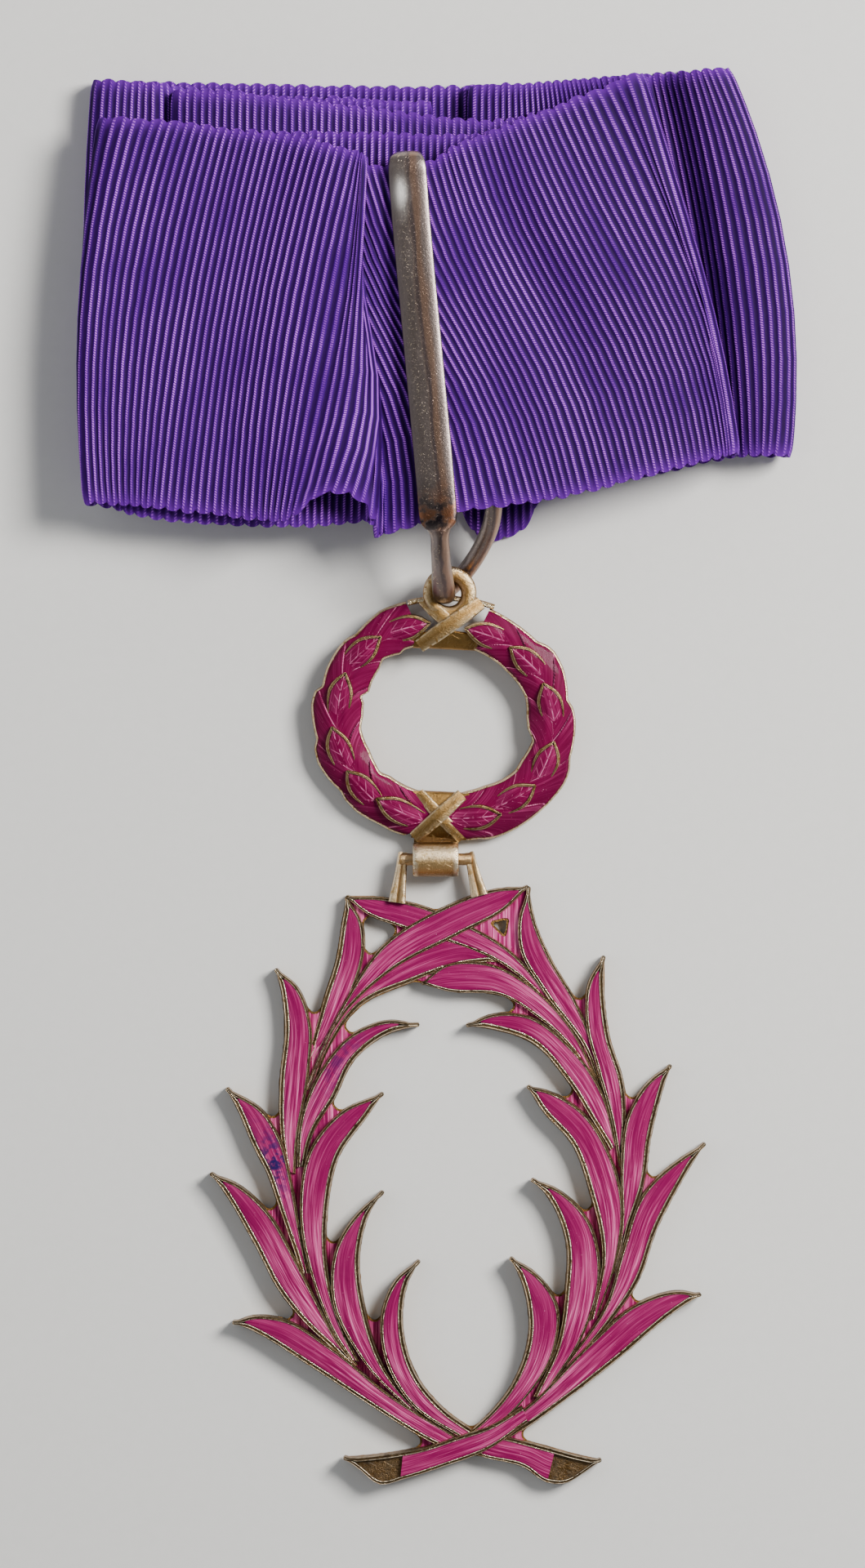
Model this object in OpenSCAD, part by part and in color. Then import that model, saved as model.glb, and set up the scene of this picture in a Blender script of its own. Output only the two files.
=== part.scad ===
/* [Neck ribbon] */
// Thickness of the folded ribbon
ribbon_wall = 1.0; // [0.8:0.1:1.0]
// Height from one layer of the folded ribbon to the next
layer_pitch = 1.1; // [1.1:0.05:1.3]

/* [Ribbon loop] */
// Width of the half-round front bar
bar_w = 3.8; // [3.2:0.1:4.2]
// Height of the front bar
bar_h = 1.8; // [1.4:0.1:2.0]
// Diameter of the round wire that passes the eye
wire_d = 1.7; // [1.4:0.1:1.7]

/* [Wreath] */
// Width of the wreath over its leaves
wreath_w = 26.8; // [26:0.2:28]
// Height of the wreath over its leaves
wreath_h = 24.4; // [24:0.2:25.4]
// Width of the wreath's band of leaves
band_w = 5.3; // [5:0.1:5.6]
// Thickness of the wreath's plate under the leaves
wreath_t = 1.3; // [1.1:0.1:1.5]
// How far the wreath is tipped up from the surface, about the hinge
wreath_tip = 3; // [2:0.5:4]

/* [Hinge] */
// Diameter of the hanger's pin
pin_d = 1.2; // [1.0:0.1:1.3]
// Play between the pin and the rolled sleeve, on the radius
pin_play = 0.08; // [0.05:0.01:0.1]
// Outside diameter of the rolled sleeve
sleeve_d = 3.5; // [3.3:0.1:3.6]
// Length of the rolled sleeve
sleeve_l = 4.6; // [4:0.1:4.8]

/* [Palms] */
// Thickness of the lowest leaves
palm_t = 1.3; // [1.1:0.1:1.5]

/* [Enamel] */
// Width of the gilt rim round each enamelled leaf
rim_w = 0.32; // [0.25:0.01:0.4]
// Depth of the enamel in the metal
enamel_t = 0.5; // [0.4:0.05:0.6]

/* [Hidden] */
$fn = 48;

gap = 0.06;       // play that the enamel is drawn with in its cells
proud = 0.06;     // how far the enamel stands above its rims
cut = 5;          // length of a cutting tool past what it cuts
leaf_steps = 10;  // points along each side of a wreath leaf
edge_steps = 3;   // points from one row of a palm leaf's edge to the next

// The hinge is the fixed point between the wreath and the palms
hinge = [0.2, -8.0, sleeve_d / 2];

// The ribbon is a long loop folded to and fro in flat layers, with its ends in a clasp.
// Each row is one rib of it: foot x, foot y, head x, head y, bow at half height,
// layer before it and layer after it. Where the two layers differ, the ribbon turns back.
hidden_ribs = [
    [-10.7, 29.2, -10.7, 67.9, 0, 1, 1],      // the end right of the clasp
    [-1.9, 29.6, -1.0, 67.2, 0, 1, 2],
    [-25.9, 28.0, -25.3, 68.2, 0, 2, 3],
    [-6.2, 29.0, -6.2, 66.5, 0, 3, 3],
    [6.4, 29.5, 5.4, 65.3, 0, 3, 3],
    [25.0, 32.2, 17.0, 67.2, 0, 3, 4],
    [5.4, 28.5, 4.6, 63.9, 0, 4, 4],
    [-7.0, 25.8, -6.4, 64.0, 0, 4, 4],
    [-19.0, 25.4, -19.0, 64.2, 0, 4, 4],
    [-29.5, 26.4, -28.5, 65.0, 0, 4, 4]
];
left_turn = [-33.8, 27.4, -32.2, 65.5, -1.2, 4, 5];
right_turn = [28.4, 32.4, 18.0, 70.2, 0, 5, 2];
back_ribs = [
    [3.8, 28.8, 4.3, 68.9, 0, 2, 1],
    [34.5, 32.4, 28.2, 70.5, 2.2, 1, 0],
    [11.5, 29.5, 11.5, 69.2, 0, 0, 0],
    [8.6, 24.9, 8.8, 69.0, 0, 0, 0],
    [4.6, 24.4, 4.8, 68.9, 0, 0, 0],
    [1.4, 29.0, 1.4, 68.9, 0, 0, 0],
    [-33.2, 28.8, -33.1, 69.4, -0.8, 0, 1],
    [-18.7, 29.0, -18.7, 68.4, 0, 1, 1]       // the end left of the clasp
];
// The top layer's folds, left to right: foot x, foot y, head x, head y,
// rise over the flat layer, further rise of the foot
front_ribs = [
    [-29.2, 27.3, -27.7, 65.2, 0, 0],
    [-19.3, 26.2, -19.6, 64.1, 0.5, 0],
    [-15.5, 25.8, -15.5, 63.7, 0.9, 0.1],
    [-13.1, 26.7, -12.9, 63.3, 1.1, 0.6],
    [-10.8, 28.5, -10.7, 62.8, 1.4, 1.2],     // the lower edge curls up
    [-8.5, 27.6, -8.6, 62.1, 1.7, 0.8],
    [-6.9, 25.9, -7.3, 61.7, 1.9, 0.2],
    [-5.9, 25.1, -6.3, 61.1, 0.2, 0],         // the deep crease beside the bar
    [-4.9, 24.6, -5.3, 60.4, 1.9, 0],
    [-2.4, 24.7, -2.5, 60.5, 1.9, 0],
    [0.3, 25.5, -0.7, 60.8, 1.9, 0],
    [2.4, 27.4, 1.2, 62.0, 1.9, 0],
    [5.6, 27.0, 3.4, 63.0, 1.9, 0],
    [9.3, 27.5, 6.4, 64.1, 1.9, 0],
    [13.7, 28.3, 9.8, 65.5, 1.3, 0],
    [19.0, 29.8, 13.7, 67.2, 0.6, 0],
    [24.7, 31.4, 16.6, 68.8, 0.1, 0]
];
across = 4;      // strips across the ribbon's width
turn_steps = 4;  // steps round each turn

function foot(row) = [row[0], row[1]];
function head(row) = [row[2], row[3]];
function rib_bow(row) = row[4];
function rib_rise(row) = row[4];
function foot_rise(row) = row[5];
function layer_before(row) = row[5];
function layer_after(row) = row[6];
function layer_z(layer) = layer * layer_pitch + ribbon_wall / 2;

// The middle of the ribbon along one rib, pushed out sideways and set at a height
function rib_points(row, bow, out, low_z, high_z) =
    let (side = left_of(unit(foot(row) - head(row))))
    [for (j = [0:across])
        let (s = j / across, xy = foot(row) * (1 - s) + head(row) * s + side * (4 * bow * s * (1 - s) + out))
        [xy[0], xy[1], low_z * (1 - s) + high_z * s]];

// A rib in a flat layer, or the half circle of ribs where the ribbon turns back.
// Ribs run from foot to head, so their side points to the right.
function folded(row, to_right) =
    let (z0 = layer_z(layer_before(row)), z1 = layer_z(layer_after(row)))
    z0 == z1 ? [rib_points(row, rib_bow(row), 0, z0, z0)]
    : [for (k = [0:turn_steps])
        let (a = 180 * k / turn_steps, r = abs(z1 - z0) / 2,
             z = (z0 + z1) / 2 + (z0 - z1) / 2 * cos(a))
        rib_points(row, rib_bow(row), (to_right ? 1 : -1) * r * sin(a), z, z)];

function turns_right(rows, i) = foot(rows[i])[0] > foot(rows[max(0, i - 1)])[0];

ribbon_middle = concat(
    [for (i = [0:len(hidden_ribs) - 1]) each folded(hidden_ribs[i], turns_right(hidden_ribs, i))],
    folded(left_turn, false),
    [for (row = front_ribs)
        let (z = layer_z(layer_after(left_turn)) + rib_rise(row))
        rib_points(row, 0, 0, z + foot_rise(row), z)],
    folded(right_turn, true),
    [for (i = [0:len(back_ribs) - 1]) each folded(back_ribs[i], i > 0 && turns_right(back_ribs, i))]
);

// Both faces of the wall, half its thickness to each side of the middle
function walled(grid, wall) =
    [for (i = [0:len(grid) - 1])
        let (before = grid[max(0, i - 1)], after = grid[min(len(grid) - 1, i + 1)], rib = grid[i],
             n = [for (j = [0:across])
                 unit(cross(after[j] - before[j],
                            rib[min(across, j + 1)] - rib[max(0, j - 1)]))])
        concat([for (j = [0:across]) rib[j] + n[j] * wall / 2],
               [for (j = [across:-1:0]) rib[j] - n[j] * wall / 2])];

// A solid through a row of rings that all have the same number of points
module skin(rings, closed) {
    n = len(rings);
    k = len(rings[0]);
    sides = [for (i = [0:n - (closed ? 1 : 2)], j = [0:k - 1])
        let (next = (i + 1) % n * k)
        each [[i * k + j, i * k + (j + 1) % k, next + j],
              [i * k + (j + 1) % k, next + (j + 1) % k, next + j]]];
    first_end = [for (j = [0:k / 2 - 2]) [j, k - 1 - j, k - 2 - j, j + 1]];
    last_end = [for (face = first_end) [for (i = [3:-1:0]) face[i] + (n - 1) * k]];
    polyhedron([for (ring = rings) each ring],
               closed ? sides : concat(first_end, sides, last_end), convexity = 10);
}

module neck_ribbon() {
    color("indigo") skin(walled(ribbon_middle, ribbon_wall), false);
}

// The clasp joins the ribbon's two ends, flat between its layers
clasp_gap = 0.2;
clasp_foot = 33.5;
clasp_h = 30;
clasp_corner = 1.5;
clasp_t = 0.9;

module neck_clasp() {
    left = head(back_ribs[len(back_ribs) - 1])[0] + clasp_gap;
    right = head(hidden_ribs[0])[0] - clasp_gap;
    color("silver")
        translate([left + clasp_corner, clasp_foot + clasp_corner, layer_pitch])
            linear_extrude(clasp_t)
                offset(r = clasp_corner)
                    square([right - left - 2 * clasp_corner, clasp_h - 2 * clasp_corner]);
}

// The ribbon loop, once round: middle x, middle y, height over the surface under the
// wire, half width, thickness above the middle, thickness below it
wire_r = wire_d / 2;
front_z = layer_z(5) + 1.9 + ribbon_wall / 2 + 0.15;    // underside of the front bar
back_z = layer_z(4) + ribbon_wall / 2 + 0.15 + wire_r;  // middle of the wire behind the ribbon
under_bar = 0.3;                                        // the bar's underside is slightly round
bar_z = front_z + under_bar;
bar_up = bar_h - under_bar;
loop_rows = [
    [-2.1, 58.6, back_z, wire_r, wire_r, wire_r],
    [-2.2, 60.4, back_z, wire_r, wire_r, wire_r],
    [-2.4, 61.4, (back_z + bar_z) / 2, 1.3, 0.6, 0.6],    // top bend
    [-2.6, 60.6, bar_z, bar_w * 0.45, bar_up * 0.7, under_bar],
    [-2.6, 59.6, bar_z, bar_w / 2, bar_up, under_bar],
    [-2.42, 57.6, bar_z, bar_w / 2, bar_up, under_bar],   // the bar is even between its ends
    [-1.1, 43.0, bar_z, bar_w / 2, bar_up, under_bar],
    [0.22, 28.6, bar_z, bar_w / 2, bar_up, under_bar],
    [0.4, 26.6, bar_z, bar_w / 2, bar_up, under_bar],
    [0.5, 25.3, bar_z, bar_w * 0.42, bar_up * 0.85, under_bar],
    [0.55, 24.7, bar_z - 0.1, wire_r, wire_r, wire_r * 0.8],
    [0.6, 22.6, 7.9, wire_r, wire_r, wire_r],
    [0.8, 20.2, 6.2, wire_r, wire_r, wire_r],
    [0.95, 18.9, 4.5, wire_r, wire_r, wire_r],
    [1.05, 18.5, 3.0, wire_r, wire_r, wire_r],            // through the eye
    [1.4, 18.8, 1.6, wire_r, wire_r, wire_r],
    [2.4, 19.8, 1.1, wire_r, wire_r, wire_r],
    [3.7, 21.4, 1.6, wire_r, wire_r, wire_r],
    [5.0, 23.6, 3.3, wire_r, wire_r, wire_r],
    [5.8, 25.8, 5.4, wire_r, wire_r, wire_r],
    [6.0, 27.8, back_z, wire_r, wire_r, wire_r],
    [5.0, 34.0, back_z, wire_r, wire_r, wire_r]
];
loop_steps = 3;    // rings for each row of the table
loop_sides = 10;

// The way that a smooth line through a, b and c takes at b
function way_at(a, b, c) =
    let (before = norm(b - a), after = norm(c - b))
    before == 0 ? (c - b) / after
    : after == 0 ? (b - a) / before
    : ((c - b) * before / after + (b - a) * after / before) / (before + after);

// On the smooth line through four rows, at share t of the way from the second to the third
function between(a, b, c, d, t) =
    let (size = norm(c - b))
    b * (2 * t * t * t - 3 * t * t + 1) + way_at(a, b, c) * size * (t * t * t - 2 * t * t + t)
    + c * (3 * t * t - 2 * t * t * t) + way_at(b, c, d) * size * (t * t * t - t * t);

// A smooth closed line through the rows, which also carries the section's sizes
function smooth_round(rows, steps) =
    let (n = len(rows))
    [for (i = [0:n - 1], k = [0:steps - 1])
        between(rows[(i + n - 1) % n], rows[i], rows[(i + 1) % n], rows[(i + 2) % n], k / steps)];

// A smooth open line through the points
function smooth_along(points, steps) =
    let (last = len(points) - 1)
    concat([for (i = [0:last - 1], k = [0:steps - 1])
        between(points[max(0, i - 1)], points[i], points[i + 1], points[min(last, i + 2)], k / steps)],
        [points[last]]);

module ribbon_loop() {
    line = smooth_round(loop_rows, loop_steps);
    n = len(line);
    rings = [for (i = [0:n - 1])
        let (at = line[i], ahead = line[(i + 1) % n] - line[(i + n - 1) % n],
             way = unit([ahead[0], ahead[1], ahead[2]]),
             side = unit([1, 0, 0] - way * way[0]), up = cross(side, way))
        [for (j = [0:loop_sides - 1])
            let (a = 360 * j / loop_sides, v = sin(a))
            [at[0], at[1], at[2]] + side * at[3] * cos(a) + up * v * (v > 0 ? at[5] : at[4])]];
    color("dimgray") skin(rings, true);
}

// The palm leaves, seen from the front and measured from the hinge. Each row is the leaf's tip,
// the points down its two edges to the base, and its height above the lowest leaves.
left_leaves = [
    // top outer
    [[-8.9, -3.7],
     [[-9.4, -6.3], [-10.0, -10.0], [-11.2, -13.8], [-13.0, -20.1]],
     [[-7.4, -5.9], [-7.0, -8.6], [-8.2, -13.3], [-12.0, -20.1]], 0.0],
    // second, under the crossing
    [[6.4, -10.2],
     [[3.4, -8.3], [-1.1, -8.7], [-6.4, -12.6], [-10.9, -17.5], [-13.0, -23.0]],
     [[2.3, -10.7], [-2.3, -12.3], [-7.6, -14.8], [-10.5, -18.9], [-12.2, -23.0]], 0.0],
    // end leaf, over the crossing
    [[9.3, -2.7],
     [[6.0, -2.9], [0.6, -4.8], [-5.2, -8.4], [-8.8, -13.5], [-13.2, -23.0]],
     [[7.2, -4.7], [2.5, -7.2], [-4.4, -10.5], [-9.9, -15.4], [-12.6, -23.0]], 0.3],
    [[-16.0, -10.9],
     [[-15.4, -13.5], [-15.1, -16.9], [-15.6, -21.9], [-15.5, -28.3]],
     [[-13.9, -12.5], [-12.4, -16.2], [-12.5, -20.9], [-13.9, -29.1]], 0.3],
    [[-1.6, -16.5],
     [[-4.5, -16.0], [-8.4, -17.4], [-11.7, -21.3], [-13.6, -26.2], [-13.9, -30.7]],
     [[-5.2, -17.7], [-8.1, -20.1], [-10.0, -23.9], [-12.1, -27.4], [-13.0, -30.7]], 0.3],
    [[-20.9, -22.8],
     [[-19.5, -25.7], [-18.2, -28.8], [-16.9, -31.3], [-15.7, -34.8], [-13.5, -41.3]],
     [[-17.2, -25.0], [-15.3, -28.1], [-14.3, -31.9], [-13.5, -36.4], [-12.5, -41.3]], 0.4],
    [[-5.2, -23.3],
     [[-9.3, -25.0], [-12.5, -28.7], [-13.6, -34.8], [-12.5, -41.4], [-9.9, -47.8]],
     [[-6.5, -25.3], [-9.6, -29.7], [-10.7, -34.8], [-10.3, -42.9], [-8.9, -47.8]], 0.5],
    [[-22.5, -31.3],
     [[-20.9, -33.6], [-18.1, -38.5], [-15.6, -43.2], [-13.1, -46.3], [-10.2, -49.0]],
     [[-20.0, -32.2], [-16.5, -35.3], [-14.3, -39.0], [-11.8, -43.9], [-9.2, -48.6]], 0.5],
    [[-5.2, -33.1],
     [[-7.5, -34.9], [-10.0, -38.7], [-10.4, -43.7], [-7.4, -49.9], [-2.1, -55.5]],
     [[-6.4, -35.0], [-7.5, -39.2], [-6.8, -45.5], [-4.8, -51.0], [-1.1, -55.5]], 0.6],
    [[-20.3, -46.2],
     [[-18.3, -45.5], [-15.4, -45.7], [-10.5, -48.5], [-4.7, -53.2], [2.0, -57.4]],
     [[-18.2, -47.1], [-12.7, -50.5], [-6.1, -54.8], [-1.1, -57.9], [2.2, -59.6]], 0.6],
    [[-1.6, -40.0],
     [[-3.8, -41.6], [-5.4, -44.9], [-5.3, -49.2], [-2.9, -53.9], [3.4, -58.3]],
     [[-2.7, -42.2], [-3.2, -46.8], [-1.7, -51.7], [0.9, -54.8], [4.6, -57.4]], 0.7]
];
right_leaves = [
    // end leaf, under the crossing
    [[-9.0, -3.7],
     [[-6.0, -3.7], [-1.9, -4.4], [2.2, -6.0], [7.2, -8.8], [12.6, -15.4], [14.8, -19.3]],
     [[-7.2, -5.3], [-3.5, -6.8], [1.4, -8.3], [6.6, -10.5], [11.4, -14.9], [14.2, -19.5]], 0.1],
    // second
    [[-1.5, -12.4],
     [[0.9, -10.5], [5.2, -10.3], [9.1, -12.2], [13.1, -16.1], [16.4, -22.2]],
     [[1.2, -13.2], [6.7, -13.7], [10.0, -15.7], [13.5, -18.9], [15.8, -22.6]], 0.2],
    // top outer
    [[9.3, -2.7],
     [[9.9, -5.9], [11.4, -9.6], [14.0, -14.0], [15.3, -16.9], [17.0, -22.6]],
     [[8.2, -5.9], [8.3, -8.9], [10.7, -13.2], [14.8, -18.9], [16.5, -23.4]], 0.2],
    [[16.8, -9.6],
     [[15.2, -12.2], [14.9, -16.1], [16.1, -21.1], [17.4, -25.8], [18.2, -30.7]],
     [[16.9, -14.0], [17.4, -17.7], [18.8, -22.2], [19.1, -26.2], [18.7, -30.7]], 0.3],
    [[3.0, -16.6],
     [[5.2, -15.5], [8.8, -15.4], [13.5, -18.6], [16.8, -23.4], [18.1, -28.3]],
     [[5.6, -17.0], [9.5, -18.3], [13.1, -22.2], [15.6, -26.2], [17.4, -29.1]], 0.3],
    [[23.5, -20.5],
     [[21.5, -21.8], [19.1, -25.4], [18.4, -30.7], [18.4, -36.4], [17.6, -41.3]],
     [[22.6, -23.4], [21.5, -27.9], [20.9, -32.3], [19.6, -36.4], [18.1, -41.3]], 0.4],
    [[9.1, -22.6],
     [[11.1, -23.0], [14.6, -25.0], [17.4, -29.2], [18.7, -34.0], [18.1, -39.9], [16.3, -45.4]],
     [[10.5, -25.0], [13.5, -28.4], [15.3, -33.3], [16.5, -39.6], [15.3, -46.1]], 0.5],
    [[26.9, -28.3],
     [[24.5, -29.7], [20.6, -33.3], [18.6, -38.7], [17.0, -44.1], [12.7, -50.6]],
     [[24.8, -31.8], [22.1, -37.0], [20.3, -42.1], [17.2, -46.6], [13.9, -50.4]], 0.5],
    [[9.5, -31.9],
     [[11.9, -32.7], [15.3, -35.9], [16.5, -41.3], [14.9, -47.2], [10.9, -53.6]],
     [[10.9, -33.4], [12.9, -38.0], [12.8, -43.3], [11.9, -48.6], [9.6, -53.6]], 0.6],
    [[26.5, -43.4],
     [[24.5, -43.0], [19.9, -44.3], [15.4, -48.1], [9.5, -54.1], [3.0, -58.7]],
     [[23.7, -45.3], [18.1, -50.0], [13.5, -53.6], [8.7, -57.0], [3.9, -59.6]], 0.6],
    [[7.4, -39.7],
     [[9.6, -40.9], [12.2, -44.3], [11.9, -49.0], [8.7, -54.1], [3.0, -59.0]],
     [[8.7, -42.7], [9.2, -47.4], [7.4, -52.6], [4.2, -56.3], [0.9, -58.7]], 0.7]
];
function leaf_tip(row) = row[0];
function leaf_edge(row, side) = row[side];
function leaf_lift(row) = row[3];

// The two cut stems, round their outlines from the palms to the cut end and back
left_stem = [[2.2, -57.1], [8.6, -58.0], [12.6, -58.8], [16.6, -59.8], [14.9, -61.1],
             [12.8, -62.3], [11.1, -62.2], [8.9, -60.7], [4.9, -59.7], [0.6, -58.1]];
right_stem = [[5.4, -56.3], [1.9, -57.5], [-5.1, -59.2], [-9.2, -59.6], [-5.6, -62.3],
              [-3.1, -61.8], [0.4, -60.7], [5.4, -58.8]];
left_stem_lift = 0.3;
right_stem_lift = 0.8;

// A curve through three points, at share t of its way
function curve(a, b, c, t) = a * (2 * t - 1) * (t - 1) + b * 4 * t * (1 - t) + c * t * (2 * t - 1);
function slope(a, b, c, t) = a * (4 * t - 3) + b * (4 - 8 * t) + c * (4 * t - 1);
function unit(v) = v / norm(v);
function left_of(v) = [-v[1], v[0]];

// Half the width of a leaf at share t from tip to base, which is narrower than the middle
function half_width(width, length, taper, t) =
    width / 2 * pow(sin(90 * min(1, t * length / taper)), 0.7)
    * (1 - 0.6 * pow(max(0, (t - 0.4) / 0.6), 1.5));

// A wreath leaf's outline: one side from the tip to the base, and the other side back
function blade(tip, middle, base, width, taper) =
    let (length = norm(middle - tip) + norm(base - middle),
         side = function (t, s) curve(tip, middle, base, t)
             + s * left_of(unit(slope(tip, middle, base, t)))
             * max(0.02, half_width(width, length, taper, t)))
    concat([for (i = [0:leaf_steps]) side(pow(i / leaf_steps, 1.3), 1)],
           [for (i = [leaf_steps:-1:0]) side(pow(i / leaf_steps, 1.3), -1)]);

module palm_leaf(row) {
    one = smooth_along(concat([leaf_tip(row)], leaf_edge(row, 1)), edge_steps);
    other = smooth_along(concat([leaf_tip(row)], leaf_edge(row, 2)), edge_steps);
    polygon(concat(one, [for (i = [len(other) - 1:-1:1]) other[i]]));
}

// What shows of leaf i, with those that lie over it cut away
module shown_leaf(rows, i) {
    difference() {
        palm_leaf(rows[i]);
        for (j = [i + 1:1:len(rows) - 1])
            palm_leaf(rows[j]);
        children();
    }
}

// The cell of a leaf, clear of its rim, with narrow slits closed
module cell(inset) {
    offset(r = 0.15, $fn = 12)
        offset(delta = -inset - 0.15)
            children();
}

module left_cell(i, inset) {
    cell(inset) shown_leaf(left_leaves, i) {
        // only the end leaf passes over the other palm
        if (i != 2)
            for (j = [0, 1, 2])
                palm_leaf(right_leaves[j]);
        polygon(right_stem);
        if (i > 8)
            palm_leaf(right_leaves[10]);
    }
}

module right_cell(i, inset) {
    cell(inset) shown_leaf(right_leaves, i) {
        palm_leaf(left_leaves[2]);
        if (i > 8)
            polygon(right_stem);
    }
}

module left_stem_cell(inset) {
    cell(inset) difference() {
        polygon(left_stem);
        polygon(right_stem);
        palm_leaf(right_leaves[9]);
        translate([13.6, -60.6]) circle(r = 2.6);
    }
}

module right_stem_cell(inset) {
    cell(inset) difference() {
        polygon(right_stem);
        translate([-6.1, -61]) circle(r = 2.5);
    }
}

// The thin bed that joins the leaves and fills their notches, with the small pierced
// triangle that is left beside the crossing
bed_t = 0.7;
web_r = 0.6;      // radius of the webs' hollow outer edges
crossing_web = [[5.0, -5.3], [7.6, -4.3], [9.0, -5.7], [8.5, -8.5], [6.5, -8.8], [4.6, -7.2]];
crossing_hole = [[5.7, -6.4], [7.0, -6.1], [6.8, -7.5]];

module palm_bed() {
    linear_extrude(bed_t)
        difference() {
            offset(r = -web_r, $fn = 16)
                offset(r = web_r, $fn = 16) {
                    for (row = concat(left_leaves, right_leaves))
                        palm_leaf(row);
                    polygon(crossing_web);
                }
            offset(r = 0.15, $fn = 12)
                polygon(crossing_hole);
        }
}

// Everything in the palms that rises by the same lift, in one outline
module leaves_at(lift) {
    for (row = concat(left_leaves, right_leaves))
        if (leaf_lift(row) == lift)
            palm_leaf(row);
}

module in_cell(lift, play) {
    translate([0, 0, palm_t + lift - enamel_t])
        linear_extrude(play > 0 ? enamel_t + proud : cut)
            children();
}

module palm_cells(rows, left, play) {
    for (i = [0:len(rows) - 1])
        in_cell(leaf_lift(rows[i]), play)
            if (left)
                left_cell(i, rim_w + play);
            else
                right_cell(i, rim_w + play);
}

// The hanger is a pin with a leg down from each end to the palms
leg_w = 1.25;
leg_tops = [-3.5, 3.45];
leg_feet = [[-4.1, -4.6], [4.6, -3.9]];

module hanger() {
    translate([leg_tops[0], 0, hinge[2]])
        rotate([0, 90, 0])
            cylinder(d = pin_d, h = leg_tops[1] - leg_tops[0]);
    for (i = [0, 1]) {
        translate([leg_tops[i], 0, hinge[2]])
            sphere(d = pin_d);
        translate([0, 0, hinge[2] - pin_d / 2])
            linear_extrude(pin_d - 0.02)
                polygon([[leg_tops[i] - leg_w / 2, 0], [leg_tops[i] + leg_w / 2, 0],
                         leg_feet[i] + [leg_w / 2, 0], leg_feet[i] - [leg_w / 2, 0]]);
    }
}

module palms_metal() {
    color("goldenrod") translate([hinge[0], hinge[1], 0]) difference() {
        union() {
            hanger();
            palm_bed();
            for (lift = [0, 0.1, 0.2, 0.3, 0.4, 0.5, 0.6, 0.7])
                linear_extrude(palm_t + lift)
                    offset(delta = 0.01) leaves_at(lift);
            linear_extrude(palm_t + left_stem_lift) polygon(left_stem);
            linear_extrude(palm_t + right_stem_lift) polygon(right_stem);
        }
        palm_cells(left_leaves, true, 0);
        palm_cells(right_leaves, false, 0);
        in_cell(left_stem_lift, 0) left_stem_cell(rim_w);
        in_cell(right_stem_lift, 0) right_stem_cell(rim_w);
    }
}

module left_palm_enamel() {
    color("mediumvioletred") translate([hinge[0], hinge[1], 0]) {
        palm_cells(left_leaves, true, gap);
        in_cell(left_stem_lift, gap) left_stem_cell(rim_w + gap);
    }
}

module right_palm_enamel() {
    color("mediumvioletred") translate([hinge[0], hinge[1], 0]) {
        palm_cells(right_leaves, false, gap);
        in_cell(right_stem_lift, gap) right_stem_cell(rim_w + gap);
    }
}

// The wreath is drawn flat and measured from the hinge, then tipped up about it
wreath_at = [1.0, 14.0];
wreath_lean = -2.75;
half_a = (wreath_w - band_w) / 2;
half_b = (wreath_h - band_w) / 2;
wreath_taper = 2.6;
// Rows of leaves in each half, from under to over: distance of base and tip from the
// band's middle as shares of its half width, width, lift, angle of the first tip from
// the foot of the wreath, leaves in the row
wreath_rows = [
    [0.25, 1, 2.6, 0.3, 22, 7],
    [-0.25, -1, 2.6, 0.3, 22, 7],
    [0, 0, 2.5, 0.9, 36, 6]
];
leaf_turn = 26.5;    // angle from one leaf of a row to the next
leaf_span = 31;      // angle that one leaf covers

function on_band(side, angle, out) =
    [side * (half_a + out * band_w / 2) * sin(angle), -(half_b + out * band_w / 2) * cos(angle)];

wreath_leaves = [for (row = wreath_rows, i = [row[5] - 1:-1:0], side = [-1, 1])
    let (a = row[4] + i * leaf_turn, b = a - leaf_span,
         tip = on_band(side, a, row[1]), base = on_band(side, b, row[0]),
         middle = on_band(side, (a + b) / 2, row[0] * 0.4 + row[1] * 0.6))
    [tip, middle, base, row[3], row[2]]];

module wreath_leaf(row) {
    polygon(blade(row[0], row[1], row[2], row[4], wreath_taper));
}

// Gilt ties at the head and the foot of the wreath: half width, height over the leaves'
// plate, width of each crossed strap, lift of the lower and the upper strap
tie_w = 3.6;
tie_lift = 0.6;
strap_w = 1.6;
strap_lifts = [1.1, 1.4];
strap_angle = 33;
strap_l = 8.2;
pierced = [[[-3.0, 1.7], [-2.1, 1.9], [-1.3, 0.6]], [[1.7, 0.6], [2.5, 1.2], [3.4, 1.3]]];

module tie_outline() {
    h = band_w / 2 - 0.1;
    polygon([[-tie_w, h * 0.7], [-tie_w + 0.6, h], [tie_w - 0.6, h], [tie_w, h * 0.7],
             [tie_w - 0.4, -h], [-tie_w + 0.4, -h]]);
}

module ties() {
    for (end = [-1, 1])
        translate([0, end * half_b, 0]) {
            linear_extrude(wreath_t + tie_lift) tie_outline();
            for (k = [0, 1])
                linear_extrude(wreath_t + strap_lifts[k])
                    rotate(k == 0 ? -strap_angle : strap_angle)
                        square([strap_l - k * 0.2, strap_w], center = true);
        }
}

module wreath_cell(i, inset) {
    cell(inset) difference() {
        wreath_leaf(wreath_leaves[i]);
        for (j = [i + 1:1:len(wreath_leaves) - 1])
            wreath_leaf(wreath_leaves[j]);
        for (end = [-1, 1])
            translate([0, end * half_b]) tie_outline();
    }
}

module wreath_cells(play) {
    for (i = [0:len(wreath_leaves) - 1])
        translate([0, 0, wreath_t + leaf_lift(wreath_leaves[i]) - enamel_t * 0.6])
            linear_extrude(play > 0 ? enamel_t * 0.6 + proud : cut)
                wreath_cell(i, rim_w * 0.6 + play);
}

module wreath_place() {
    translate(hinge)
        rotate([wreath_tip, 0, 0])
            translate([0, 0, -hinge[2]])
                children();
}

// The eye takes the loop's wire, and the sleeve takes the hanger's pin
eye_at = [1.1, 26.7];
eye_d = 4.9;
eye_hole_d = 3.0;
eye_z = 1.0;
eye_t = 1.2;
neck_z = 0.5;
neck_t = 1.4;
neck_l = 3.0;

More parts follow.
